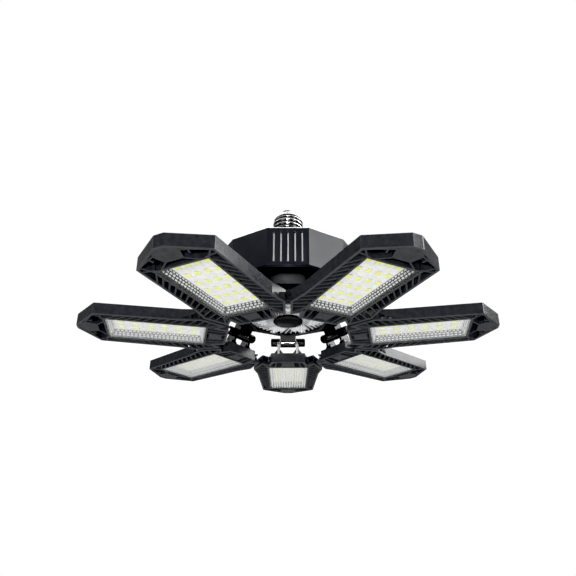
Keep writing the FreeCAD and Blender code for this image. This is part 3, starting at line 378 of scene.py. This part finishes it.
def round_edges(piece, width):
    """Round every sharp edge, but for those that end beside a tiny edge, because one tiny edge
    would keep the width of all the others near zero."""
    crowded = {vert for edge in piece.edges if edge.calc_length() < 1.3 * width for vert in edge.verts}
    bevel(piece, [edge for edge in sharp_edges(piece) if not crowded.intersection(edge.verts)], width)
    return piece


def prism(outline, low, high, rounding=0.0, slot=0):
    """An upright prism over an outline of (x, y) corners."""
    piece = bmesh.new()
    foot = [piece.verts.new((x, y, low)) for x, y in outline]
    top = [piece.verts.new((x, y, high)) for x, y in outline]
    piece.faces.new(foot)
    piece.faces.new(top)
    for index in range(len(outline)):
        after = (index + 1) % len(outline)
        piece.faces.new((foot[index], foot[after], top[after], top[index]))
    bmesh.ops.recalc_face_normals(piece, faces=piece.faces)
    if rounding:
        round_edges(piece, rounding)
    for face in piece.faces:
        face.material_index = slot
    return piece


def slab(low, high, rounding=0.0, slot=0):
    """A box between two corners."""
    corners = [(low[0], low[1]), (high[0], low[1]), (high[0], high[1]), (low[0], high[1])]
    return prism(corners, low[2], high[2], rounding, slot)


def lathe(profile, steps, ripple=None, slot=0):
    """A surface of revolution about Z through (radius, level) corners, closed where it starts and ends
    on the axis. ripple gives the factor on a radius at an angle and a level."""
    piece = bmesh.new()
    rings = []
    for radius, level in profile:
        if radius < 1e-6:
            rings.append([piece.verts.new((0, 0, level))])
            continue
        ring = []
        for step in range(steps):
            angle = 2 * math.pi * step / steps
            reach = radius * (ripple(angle, level) if ripple else 1)
            ring.append(piece.verts.new((reach * math.cos(angle), reach * math.sin(angle), level)))
        rings.append(ring)
    for ring, following in zip(rings, rings[1:]):
        for step in range(steps):
            after = (step + 1) % steps
            corners = [ring[step % len(ring)], ring[after % len(ring)],
                       following[after % len(following)], following[step % len(following)]]
            corners = list(dict.fromkeys(corners))
            if len(corners) > 2:
                piece.faces.new(corners)
    bmesh.ops.recalc_face_normals(piece, faces=piece.faces)
    for face in piece.faces:
        face.material_index = slot
    return piece


def arc(centre, radius, start, finish, steps):
    """Points of (radius, level) along part of a circle, angles in degrees."""
    points = []
    for step in range(steps + 1):
        angle = math.radians(start + (finish - start) * step / steps)
        points.append((centre[0] + radius * math.cos(angle), centre[1] + radius * math.sin(angle)))
    return points


def to_mesh(piece, name, materials, smooth=35):
    """The finished mesh in metres, shaded smooth except across edges sharper than smooth degrees."""
    bmesh.ops.scale(piece, vec=(MM, MM, MM), verts=piece.verts)
    for face in piece.faces:
        face.smooth = True
    for edge in piece.edges:
        if len(edge.link_faces) != 2 or edge.calc_face_angle(0) > math.radians(smooth):
            edge.smooth = False
    mesh = bpy.data.meshes.new(name)
    piece.to_mesh(mesh)
    piece.free()
    for material in materials:
        mesh.materials.append(material)
    return mesh


def add_to_scene(name, data):
    """A new object of the scene that shows a mesh, lamp or camera."""
    thing = bpy.data.objects.new(name, data)
    bpy.context.scene.collection.objects.link(thing)
    return thing


def show(name, mesh, body, replaced, turn=0.0, level=0.0):
    """Place a mesh on a body, standing for CAD nodes, turned about Z by degrees and raised by level."""
    thing = add_to_scene(name, mesh)
    lift = Matrix.Translation((0, 0, level * MM))
    thing.matrix_world = lift @ Matrix.Rotation(math.radians(turn), 4, "Z")
    settle = thing.modifiers.new("settled_normals", "WEIGHTED_NORMAL")
    settle.keep_sharp = True
    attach(thing, body)
    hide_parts(*replaced)


def from_node(node, turn=0.0, level=0.0):
    """A CAD node's own solids as a welded mesh in millimetres, moved back from a turn and a level."""
    piece = bmesh.new()
    piece.from_mesh(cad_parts[node].data)
    lower = Matrix.Translation((0, 0, -level))
    move = Matrix.Rotation(math.radians(-turn), 4, "Z") @ lower @ Matrix.Scale(1 / MM, 4)
    bmesh.ops.transform(piece, matrix=move, verts=piece.verts)
    bmesh.ops.remove_doubles(piece, verts=piece.verts, dist=1e-4)
    bmesh.ops.dissolve_limit(piece, angle_limit=math.radians(0.5), verts=piece.verts, edges=piece.edges)
    return piece


def islands(node, turn=0.0, level=0.0):
    """Lowest and highest corner of each separate solid of a CAD node, in millimetres."""
    piece = from_node(node, turn, level)
    found, seen = [], set()
    for vert in piece.verts:
        if vert in seen:
            continue
        reached, queue = [], [vert]
        seen.add(vert)
        while queue:
            here = queue.pop()
            reached.append(here.co.copy())
            for edge in here.link_edges:
                other = edge.other_vert(here)
                if other not in seen:
                    seen.add(other)
                    queue.append(other)
        low = Vector([min(point[axis] for point in reached) for axis in range(3)])
        high = Vector([max(point[axis] for point in reached) for axis in range(3)])
        found.append((low, high))
    piece.free()
    return found


def dress(node, material, rounding):
    """The form of a CAD node of the fixed body, with its edges rounded."""
    mesh = to_mesh(round_edges(from_node(node), rounding), f"{node}_mesh", [material])
    show(f"{node}_shown", mesh, "root", [node])


def paint(node, material):
    """A better material on a CAD node that keeps its own mesh."""
    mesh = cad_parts[node].data
    mesh.materials.clear()
    mesh.materials.append(material)


# ---------------------------------------------------------------- screws
# radius, length, head radius and head height
BRACKET_SCREW = (1.5, 6.0, 2.7, 1.6)
BODY_SCREW = (1.5, 9.0, 2.7, 1.6)
REFLECTOR_SCREW = (1.0, 6.0, 1.9, 1.2)
HEADS_DOWN = ("housing_screws", "reflector_screws")
HUB_WEB = -90.0                       # stem screws that start below this level have their heads down


def carved(piece, tool):
    """The mesh of one closed form with another cut out of it."""
    things = []
    for form in (piece, tool):
        mesh = bpy.data.meshes.new("carving")
        form.to_mesh(mesh)
        form.free()
        things.append(add_to_scene("carving", mesh))
    body, cutter = things
    boolean = body.modifiers.new("cut", "BOOLEAN")
    boolean.operation = "DIFFERENCE"
    boolean.solver = "EXACT"
    boolean.object = cutter
    bpy.context.view_layer.update()
    shaped = bpy.data.meshes.new_from_object(body.evaluated_get(bpy.context.evaluated_depsgraph_get()))
    for thing in things:
        bpy.data.meshes.remove(thing.data)      # its object goes with it
    return shaped


def cross(half_width, reach, low, high):
    """An upright prism with four arms, the blade of a cross driver."""
    outline = []
    quarter = [(half_width, half_width), (half_width, reach), (-half_width, reach)]
    for _ in range(4):
        outline += quarter
        quarter = [(-y, x) for x, y in quarter]
    return prism(outline, low, high)


def pan_head_screw(radius, length, head_radius, head_height):
    """A pan head screw, head up at z = 0, with a cross recess and a rolled thread."""
    pitch, core = 1.1, 0.78 * radius
    profile = [(0, head_height), (0.45 * head_radius, head_height)]
    profile += arc((head_radius - 0.6 * head_height, 0.4 * head_height), 0.6 * head_height, 80, 0, 4)
    profile += [(head_radius, 0), (radius, 0)]
    for turn in range(max(int((length - 1) / pitch), 1)):
        crest = -0.6 - turn * pitch
        profile += [(radius, crest), (core, crest - pitch / 2)]
    profile += [(core, 0.6 - length), (0.4 * radius, -length), (0, -length)]
    recess = cross(0.16 * head_radius, 0.62 * head_radius, 0.3 * head_height, 2 * head_height)
    return carved(lathe(profile, 24), recess)


def place_screws(node, name, sizes, turn=0.0, level=0.0):
    """A detailed screw for each plain screw of a CAD node, head where the plain one's is."""
    master = pan_head_screw(*sizes)
    head_height = sizes[-1]
    together = bmesh.new()
    for low, high in islands(node, turn, level):
        one = bmesh.new()
        one.from_mesh(master)
        middle = (low + high) / 2
        if node in HEADS_DOWN or (node == "stem_screws" and low.z < HUB_WEB):
            flip = Matrix.Rotation(math.pi, 4, "X")
            move = Matrix.Translation((middle.x, middle.y, low.z + head_height)) @ flip
        else:
            move = Matrix.Translation((middle.x, middle.y, high.z - head_height))
        own_angle = 0.7 * middle.x + 1.3 * middle.y     # no two recesses stop at the same angle
        add(together, one, move @ Matrix.Rotation(own_angle, 4, "Z"))
    bpy.data.meshes.remove(master)
    return to_mesh(together, f"{name}_mesh", [STEEL])


# ---------------------------------------------------------------- screw cap
def screw_shell():
    """A thin shell with a rolled right-hand thread that fades out at both ends."""
    root, depth, pitch, wall, height = 12.2, 1.0, 3.63, 0.5, 17.4
    low, high, rows, steps = 1.2, height - 2, 130, 96
    first, last = 2.2, height - 3         # where the thread has faded out
    rolled_foot = ((0.0, root - wall), (0.0, root + 1.5), (0.4, root + 1.3), (1.0, root + 0.3))
    shoulder = ((-1.4, 11.9), (-0.4, 10.8), (0.0, 9.6), (0.0, 8.8), (-0.6, 8.8))
    piece = bmesh.new()
    valley = piece.verts.layers.float.new("valley")

    def crest(angle, level):
        """How far the thread stands out there, from 0 in a valley to 1 on a crest."""
        phase = (level / pitch + angle / (2 * math.pi)) % 1.0
        rise = (0.5 - 0.5 * math.cos(2 * math.pi * phase)) ** 0.8
        fade = min(max((level - first) / 2, 0), max((last - level) / 2, 0), 1)
        return rise * fade * fade * (3 - 2 * fade)

    levels = [low + (high - low) * row / rows for row in range(rows + 1)]
    profile = [("plain", level, radius) for level, radius in rolled_foot]
    profile += [("outside", level, root) for level in levels]
    profile += [("plain", height + below, radius) for below, radius in shoulder]
    profile += [("inside", level, root - wall) for level in reversed(levels)]
    rings = []
    for kind, level, radius in profile:
        ring = []
        for step in range(steps):
            angle = 2 * math.pi * step / steps
            raised = 0.0 if kind == "plain" else crest(angle, level)
            reach = radius + depth * raised
            vert = piece.verts.new((reach * math.cos(angle), reach * math.sin(angle), level))
            # the valley weight is painted shade: full where the outer face stands low, 0.3 on the plain and
            # inner rings
            vert[valley] = min(max(0.0, 1.5 - 1.9 * raised), 1.0) if kind == "outside" else 0.3
            ring.append(vert)
        rings.append(ring)
    for ring, following in zip(rings, rings[1:] + rings[:1]):
        for step in range(steps):
            after = (step + 1) % steps
            piece.faces.new((ring[step], ring[after], following[after], following[step]))
    bmesh.ops.recalc_face_normals(piece, faces=piece.faces)
    mesh = to_mesh(piece, "screw_shell_mesh", [THREAD], 60)
    show("screw_shell_shown", mesh, "root", ["screw_shell"], level=SEAT)


def hub_cap():
    """The black disc in the middle of the hub: a soft dome with a rounded rim."""
    rim, neck = 12.0, 7.0
    low, high = (corner.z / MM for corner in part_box("hub_cap"))
    rises = ((0, 0), (0.25, 0.03), (0.5, 0.14), (0.72, 0.34), (0.86, 0.56))     # share of the rim, and rise
    dome = [(share * rim, low + rise) for share, rise in rises]
    dome += arc((rim - 0.7, low + 1.5), 0.7, -70, 0, 5) + arc((rim - 0.4, low + 2.2), 0.4, 0, 90, 3)
    dome += [(neck, low + 2.6), (neck, high), (0, high)]
    mesh = to_mesh(lathe(dome, 96), "hub_cap_mesh", [KNOB], 45)
    show("hub_cap_shown", mesh, "root", ["hub_cap"])


# ---------------------------------------------------------------- panel pieces
WINDOW = (65.8, 137.4, 18.2)          # start and end along the panel, and half width
BOARD_LEVEL = 6.15                    # lamp board's front face above the rim
BOARD_THICKNESS = 1.0
CHIP_ROWS, CHIP_COLUMNS = 6, 4
CHIP_PITCH = (10.7, 7.2)
CHIP_SIZE = (4.6, 4.2, 0.7)
GAP = 0.15                            # board and cover to the frame
STUD_ROWS, STUD_PITCH = 3, 3.0
STUD_SIZE = (1.9, 1.1, 0.5)           # along the wall, down it and out of it
STUD_TAPER = 0.7                      # size of a stud's top as a share of its foot


def chip(board, x, y):
    """Add one lamp chip: a pale body, a phosphor filled well and solder at both ends."""
    length, width, height = CHIP_SIZE
    face, sunk = BOARD_LEVEL - height, BOARD_LEVEL + 0.01       # the chip's front, and its foot in the board
    add(board, slab((x - length / 2 + 0.2, y - width / 2, face + 0.12),
                    (x + length / 2 - 0.2, y + width / 2, sunk), rounding=0.1, slot=1))
    well = (length / 2 - 0.45, width / 2 - 0.25)
    add(board, slab((x - well[0], y - well[1], face), (x + well[0], y + well[1], face + 0.2),
                    rounding=0.12, slot=2))
    for side in (-1, 1):
        inner, outer = x + side * (length / 2 - 0.25), x + side * length / 2
        add(board, slab((min(inner, outer), y - 0.42 * width, BOARD_LEVEL - 0.35),
                        (max(inner, outer), y + 0.42 * width, sunk), rounding=0.12, slot=3))


def led_board():
    """White board with 24 chips."""
    start, end, half = WINDOW
    board = slab((start + GAP, -half + GAP, BOARD_LEVEL),
                 (end - GAP, half - GAP, BOARD_LEVEL + BOARD_THICKNESS), 0.12)
    for row in range(CHIP_ROWS):
        for column in range(CHIP_COLUMNS):
            x = (start + end) / 2 + (row - (CHIP_ROWS - 1) / 2) * CHIP_PITCH[0]
            y = (column - (CHIP_COLUMNS - 1) / 2) * CHIP_PITCH[1]
            chip(board, x, y)
    return to_mesh(board, "led_board_mesh", [WHITE, CHIP, PHOSPHOR, SOLDER])


def stud():
    """One prism stud, standing on z = 0 and narrower at its top."""
    length, width, height = STUD_SIZE
    piece = slab((-length / 2, -width / 2, 0), (length / 2, width / 2, height), slot=1)
    for vert in piece.verts:
        if vert.co.z > height / 2:
            vert.co.x *= STUD_TAPER
            vert.co.y *= STUD_TAPER
    return piece


def lens():
    """The clear cover: a plate on walls that stand on the board and thicken toward it, their leaning
    inner faces painted dark as shade and set with prism studs painted bright as light."""
    start, end, half = WINDOW
    low, plate, foot, wall, lean = 0.75, 1.75, BOARD_LEVEL, 0.9, 2.4
    x0, x1, y1 = start + GAP, end - GAP, half - GAP
    cover = slab((x0, -y1, low), (x1, y1, plate), 0.2)

    def outline(level, inset):
        """The cover's four corners at a level, drawn in by inset."""
        return [(x0 + inset, -y1 + inset, level), (x1 - inset, -y1 + inset, level),
                (x1 - inset, y1 - inset, level), (x0 + inset, y1 - inset, level)]

    top = plate - 0.01                # sunk a little into the plate
    skirt = bmesh.new()
    rings = [[skirt.verts.new(point) for point in ring]
             for ring in (outline(top, 0), outline(foot, 0), outline(foot, wall + lean), outline(top, wall))]
    for part, (ring, following) in enumerate(zip(rings, rings[1:] + rings[:1])):
        for index in range(4):
            after = (index + 1) % 4
            side = skirt.faces.new((ring[index], ring[after], following[after], following[index]))
            side.material_index = 2 if part == 2 else 0     # the leaning inner faces carry the painted shade of the valleys
    bmesh.ops.recalc_face_normals(skirt, faces=skirt.faces)
    add(cover, skirt)
    slope = math.hypot(foot - plate, lean)
    rise, run = (foot - plate) / slope, lean / slope
    row_pitch = slope / STUD_ROWS

    def studs(origin, along, inward, length, stagger):
        """Rows of studs down one leaning wall; stagger shifts every other row, in stud pitches."""
        for row in range(STUD_ROWS):
            down = row_pitch * (row + 0.5)
            total = int((length - 1 - 2 * run * down) / STUD_PITCH)
            for index in range(total):
                across = (index - (total - 1) / 2 + stagger * (row % 2 - 0.5)) * STUD_PITCH
                x, y = (origin[axis] + along[axis] * across + inward[axis] * run * down for axis in (0, 1))
                add(cover, stud(), Matrix((
                    (along[0], inward[0] * run, inward[0] * rise, x),
                    (along[1], inward[1] * run, inward[1] * rise, y),
                    (0, rise, -run, plate + rise * down),
                    (0, 0, 0, 1))))

    middle, side_length, end_length = (x0 + x1) / 2, x1 - x0 - 2 * wall, 2 * (y1 - wall)
    studs((middle, y1 - wall), (1, 0), (0, -1), side_length, 0)
    studs((middle, -y1 + wall), (-1, 0), (0, 1), side_length, 0)
    studs((x0 + wall, 0), (0, 1), (1, 0), end_length, 0.5)
    studs((x1 - wall, 0), (0, -1), (-1, 0), end_length, 0.5)
    bmesh.ops.recalc_face_normals(cover, faces=cover.faces)
    return to_mesh(cover, "lens_mesh", [CLEAR, STUDS, GAPS])


def hinge_bolt():
    """The bright pin with a fluted black knob at each end."""
    radius, pin, inner, outer = 3.9, 1.5, 9.7, 15.7     # knob and pin radius, the knobs' two faces
    hinge = (52.6, 20.1)              # the pin's axis: how far out from the hub's, and how high above the rim
    flutes, flute_depth = 12, 0.045

    def fluted(angle, level):
        """The factor on a knob's radius: shallow grooves along its middle."""
        depth = flute_depth if inner + 0.9 < abs(level) < outer - 1.4 else 0.0
        return 1 - depth * (0.5 + 0.5 * math.cos(flutes * angle)) ** 2

    both = lathe([(0, -outer + 0.6), (pin, -outer + 0.6), (pin, inner + 0.5), (0, inner + 0.5)], 32)
    for side in (-1, 1):
        knob = [(pin + 0.05, inner), (radius - 0.35, inner), (radius, inner + 0.35), (radius, inner + 0.9)]
        knob += [(radius, inner + 1.1 + 0.45 * step) for step in range(8)]
        knob += arc((radius - 1.4, outer - 1.4), 1.4, 0, 75, 5)
        knob += [(0.9 if side > 0 else pin + 0.05, outer)]
        if side > 0:                  # the bolt's head is closed, with a shallow dimple
            knob += [(0.7, outer - 0.25), (0, outer - 0.25), (0, inner)]
        else:                         # the nut is open round the pin's end
            knob += [(pin + 0.05, inner)]
        add(both, lathe([(reach, side * level) for reach, level in knob], 96, fluted, slot=1))
    lay = Matrix.Translation((hinge[0], 0, hinge[1])) @ Matrix.Rotation(math.pi / 2, 4, "X")
    bmesh.ops.transform(both, matrix=lay, verts=both.verts)
    bmesh.ops.recalc_face_normals(both, faces=both.faces)
    return to_mesh(both, "hinge_bolt_mesh", [PIN, KNOB], 50)


def panel_frame():
    """The louvred moulding of panel 1, its tall corners rounded first and more than its other edges."""
    tall, upright = 8, 1              # a tall corner's least height, and the most that it leans
    moulding = from_node("panel_1_frame", FIRST_PANEL, RIM)
    corners = []
    for edge in sharp_edges(moulding):
        foot, head = edge.verts[0].co, edge.verts[1].co
        if abs(foot.z - head.z) > tall and math.dist(foot.xy, head.xy) < upright:
            corners.append(edge)
    bevel(moulding, corners, 0.5)
    return to_mesh(round_edges(moulding, 0.14), "frame_mesh", [PANEL])


def panels():
    """The seven panels share their meshes; each rides on its own body."""
    bracket = round_edges(from_node("panel_1_bracket", FIRST_PANEL, RIM), 0.2)
    screws = place_screws("panel_1_bracket_screws", "bracket_screws", BRACKET_SCREW, FIRST_PANEL, RIM)
    pieces = (
        ("frame", panel_frame(), "panel_black"),
        ("bracket", to_mesh(bracket, "bracket_mesh", [BRACKET]), "bracket_black"),
        ("bracket_screws", screws, "screw_steel"),
        ("led_board", led_board(), "lamp_board_white"),
        ("lens", lens(), "lens_clear"),
        ("hinge_bolt", hinge_bolt(), "bolt_metal"))
    for index in range(PANELS):
        turn = FIRST_PANEL + index * 360 / PANELS
        name = f"panel_{index + 1}"
        for piece, mesh, slot in pieces:
            node = f"{name}_{piece}"
            show(f"{node}_shown", mesh, name, [node], turn, RIM)


# ---------------------------------------------------------------- the object
screw_shell()
dress("cap_insulator", GLASS, 0.2)
dress("centre_contact", CONTACT, 0.3)
dress("driver_housing", HOUSING, 0.35)
dress("stem", STEM, 0.3)
dress("hub_plate", HUB, 0.2)
dress("housing_cover", HUB, 0.2)
dress("hub_reflector", BRIGHT, 0.1)
hub_cap()
for node, material in (("heat_spreader", MILL), ("driver_board", GREEN), ("driver_transformer", FERRITE),
                       ("driver_capacitors", CAN), ("lead_wires", WIRE), ("hub_board", GREEN)):
    paint(node, material)
for node, sizes in (("housing_screws", BODY_SCREW), ("stem_screws", BODY_SCREW),
                    ("reflector_screws", REFLECTOR_SCREW)):
    show(f"{node}_shown", place_screws(node, node, sizes), "root", [node])
panels()


# ---------------------------------------------------------------- the studio
FRONT_GLOW, BACK_GLOW = 0.13, 1.1     # strength of the surroundings in front of the object and behind it
AIM = Vector((0, 0, -0.10))           # the point that every lamp faces, in metres
# name, azimuth and elevation in degrees, distance and size in metres, power in watts
LAMPS = (
    ("key", -1, 24, 1.3, (0.78, 0.5), 11.5),
    ("facet", -38, 24, 1.3, (0.4, 0.5), 5),
    ("left", 186, 24, 1.3, (0.25, 0.5), 1.0),
    ("from_below", -90, -64, 1.0, (1.2, 0.5), 3.5),
    ("front", -96, -20, 1.2, (0.3, 0.12), 9),
    ("back_top", 75, 55, 1.4, (1.2, 0.8), 14))


def floor():
    """A plain pale floor, a room's height below the light."""
    size, level = 3.0, -2.4
    corners = [(-size, -size, level), (size, -size, level), (size, size, level), (-size, size, level)]
    mesh = bpy.data.meshes.new("floor")
    mesh.from_pydata(corners, [], [(0, 1, 2, 3)])
    shader = Shader("floor_paper")
    paper = shader.noise(400, 3)
    shader.colour(shader.mixed(shader.spread(paper, 0.3, 0.7), (0.90, 0.90, 0.90), (0.93, 0.93, 0.93)))
    shader.roughness(shader.spread(paper, 0.3, 0.7, 0.85, 0.95))
    mesh.materials.append(shader.material)
    thing = add_to_scene("floor", mesh)


def softbox(name, azimuth, elevation, distance, size, power):
    """A rectangular area lamp that faces the object and isn't seen by the camera."""
    data = bpy.data.lights.new(name, "AREA")
    data.shape = "RECTANGLE"
    data.size, data.size_y = size
    data.energy = power
    lamp = add_to_scene(name, data)
    turn, lift = math.radians(azimuth), math.radians(elevation)
    away = Vector((math.cos(turn) * math.cos(lift), math.sin(turn) * math.cos(lift), math.sin(lift)))
    lamp.location = AIM + away * distance
    lamp.visible_camera = False
    lamp.rotation_mode = "QUATERNION"
    lamp.rotation_quaternion = away.to_track_quat("Z", "Y")


def surroundings():
    """White behind and above, dimmer in front and below; the camera itself sees plain white all round."""
    world = bpy.data.worlds.new("studio")
    bpy.context.scene.world = world
    world.use_nodes = True
    tree = world.node_tree
    place = tree.nodes.new("ShaderNodeTexCoord")
    parts = tree.nodes.new("ShaderNodeSeparateXYZ")
    tree.links.new(place.outputs["Generated"], parts.inputs["Vector"])

    def ramp(axis, *values):
        """The direction's share along an axis, between two limits, brought to between two strengths."""
        node = tree.nodes.new("ShaderNodeMapRange")
        for socket, value in zip(RANGE_SOCKETS, values):
            node.inputs[socket].default_value = value
        tree.links.new(parts.outputs[axis], node.inputs["Value"])
        return node.outputs["Result"]

    def joined(operation, first, second):
        """One step of arithmetic on two sockets."""
        node = tree.nodes.new("ShaderNodeMath")
        node.operation = operation
        tree.links.new(first, node.inputs[0])
        tree.links.new(second, node.inputs[1])
        return node.outputs["Value"]

    front_to_back = ramp("Y", 0.60, 0.88, FRONT_GLOW, BACK_GLOW)
    low_to_level = ramp("Z", -0.25, 0.10, 0.14, 1.0)
    overhead = ramp("Z", 0.60, 0.78, 0.0, 1.15)
    glow = joined("MAXIMUM", joined("MULTIPLY", front_to_back, low_to_level), overhead)
    seen = tree.nodes.new("ShaderNodeLightPath").outputs["Is Camera Ray"]
    background = tree.nodes["Background"]
    background.inputs["Color"].default_value = (1.0, 1.0, 1.0, 1.0)
    tree.links.new(joined("MAXIMUM", glow, seen), background.inputs["Strength"])


def camera():
    """The photograph's view: from the front, 20.5 degrees below the rim plane, 386.9 mm away."""
    tilt, distance = math.radians(20.5), 386.9 * MM
    data = bpy.data.cameras.new("camera")
    data.sensor_width = 36.0
    data.lens = 30.23
    data.shift_y = 0.0958             # the photograph's framing, with the hub below the middle
    data.clip_start, data.clip_end = 0.01, 50
    thing = add_to_scene("camera", data)
    ahead = Vector((0, math.cos(tilt), math.sin(tilt)))
    thing.location = Vector((0, 0, RIM * MM)) - ahead * distance
    thing.rotation_mode = "QUATERNION"
    thing.rotation_quaternion = ahead.to_track_quat("-Z", "Y")
    bpy.context.scene.camera = thing


surroundings()
floor()
for lamp in LAMPS:
    softbox(*lamp)
camera()
picture = bpy.context.scene.view_settings     # plain contrast and deep blacks, as in the photograph
picture.view_transform = "Standard"
picture.use_curve_mapping = True
picture.curve_mapping.black_level = (0.008, 0.008, 0.008)
picture.curve_mapping.update()
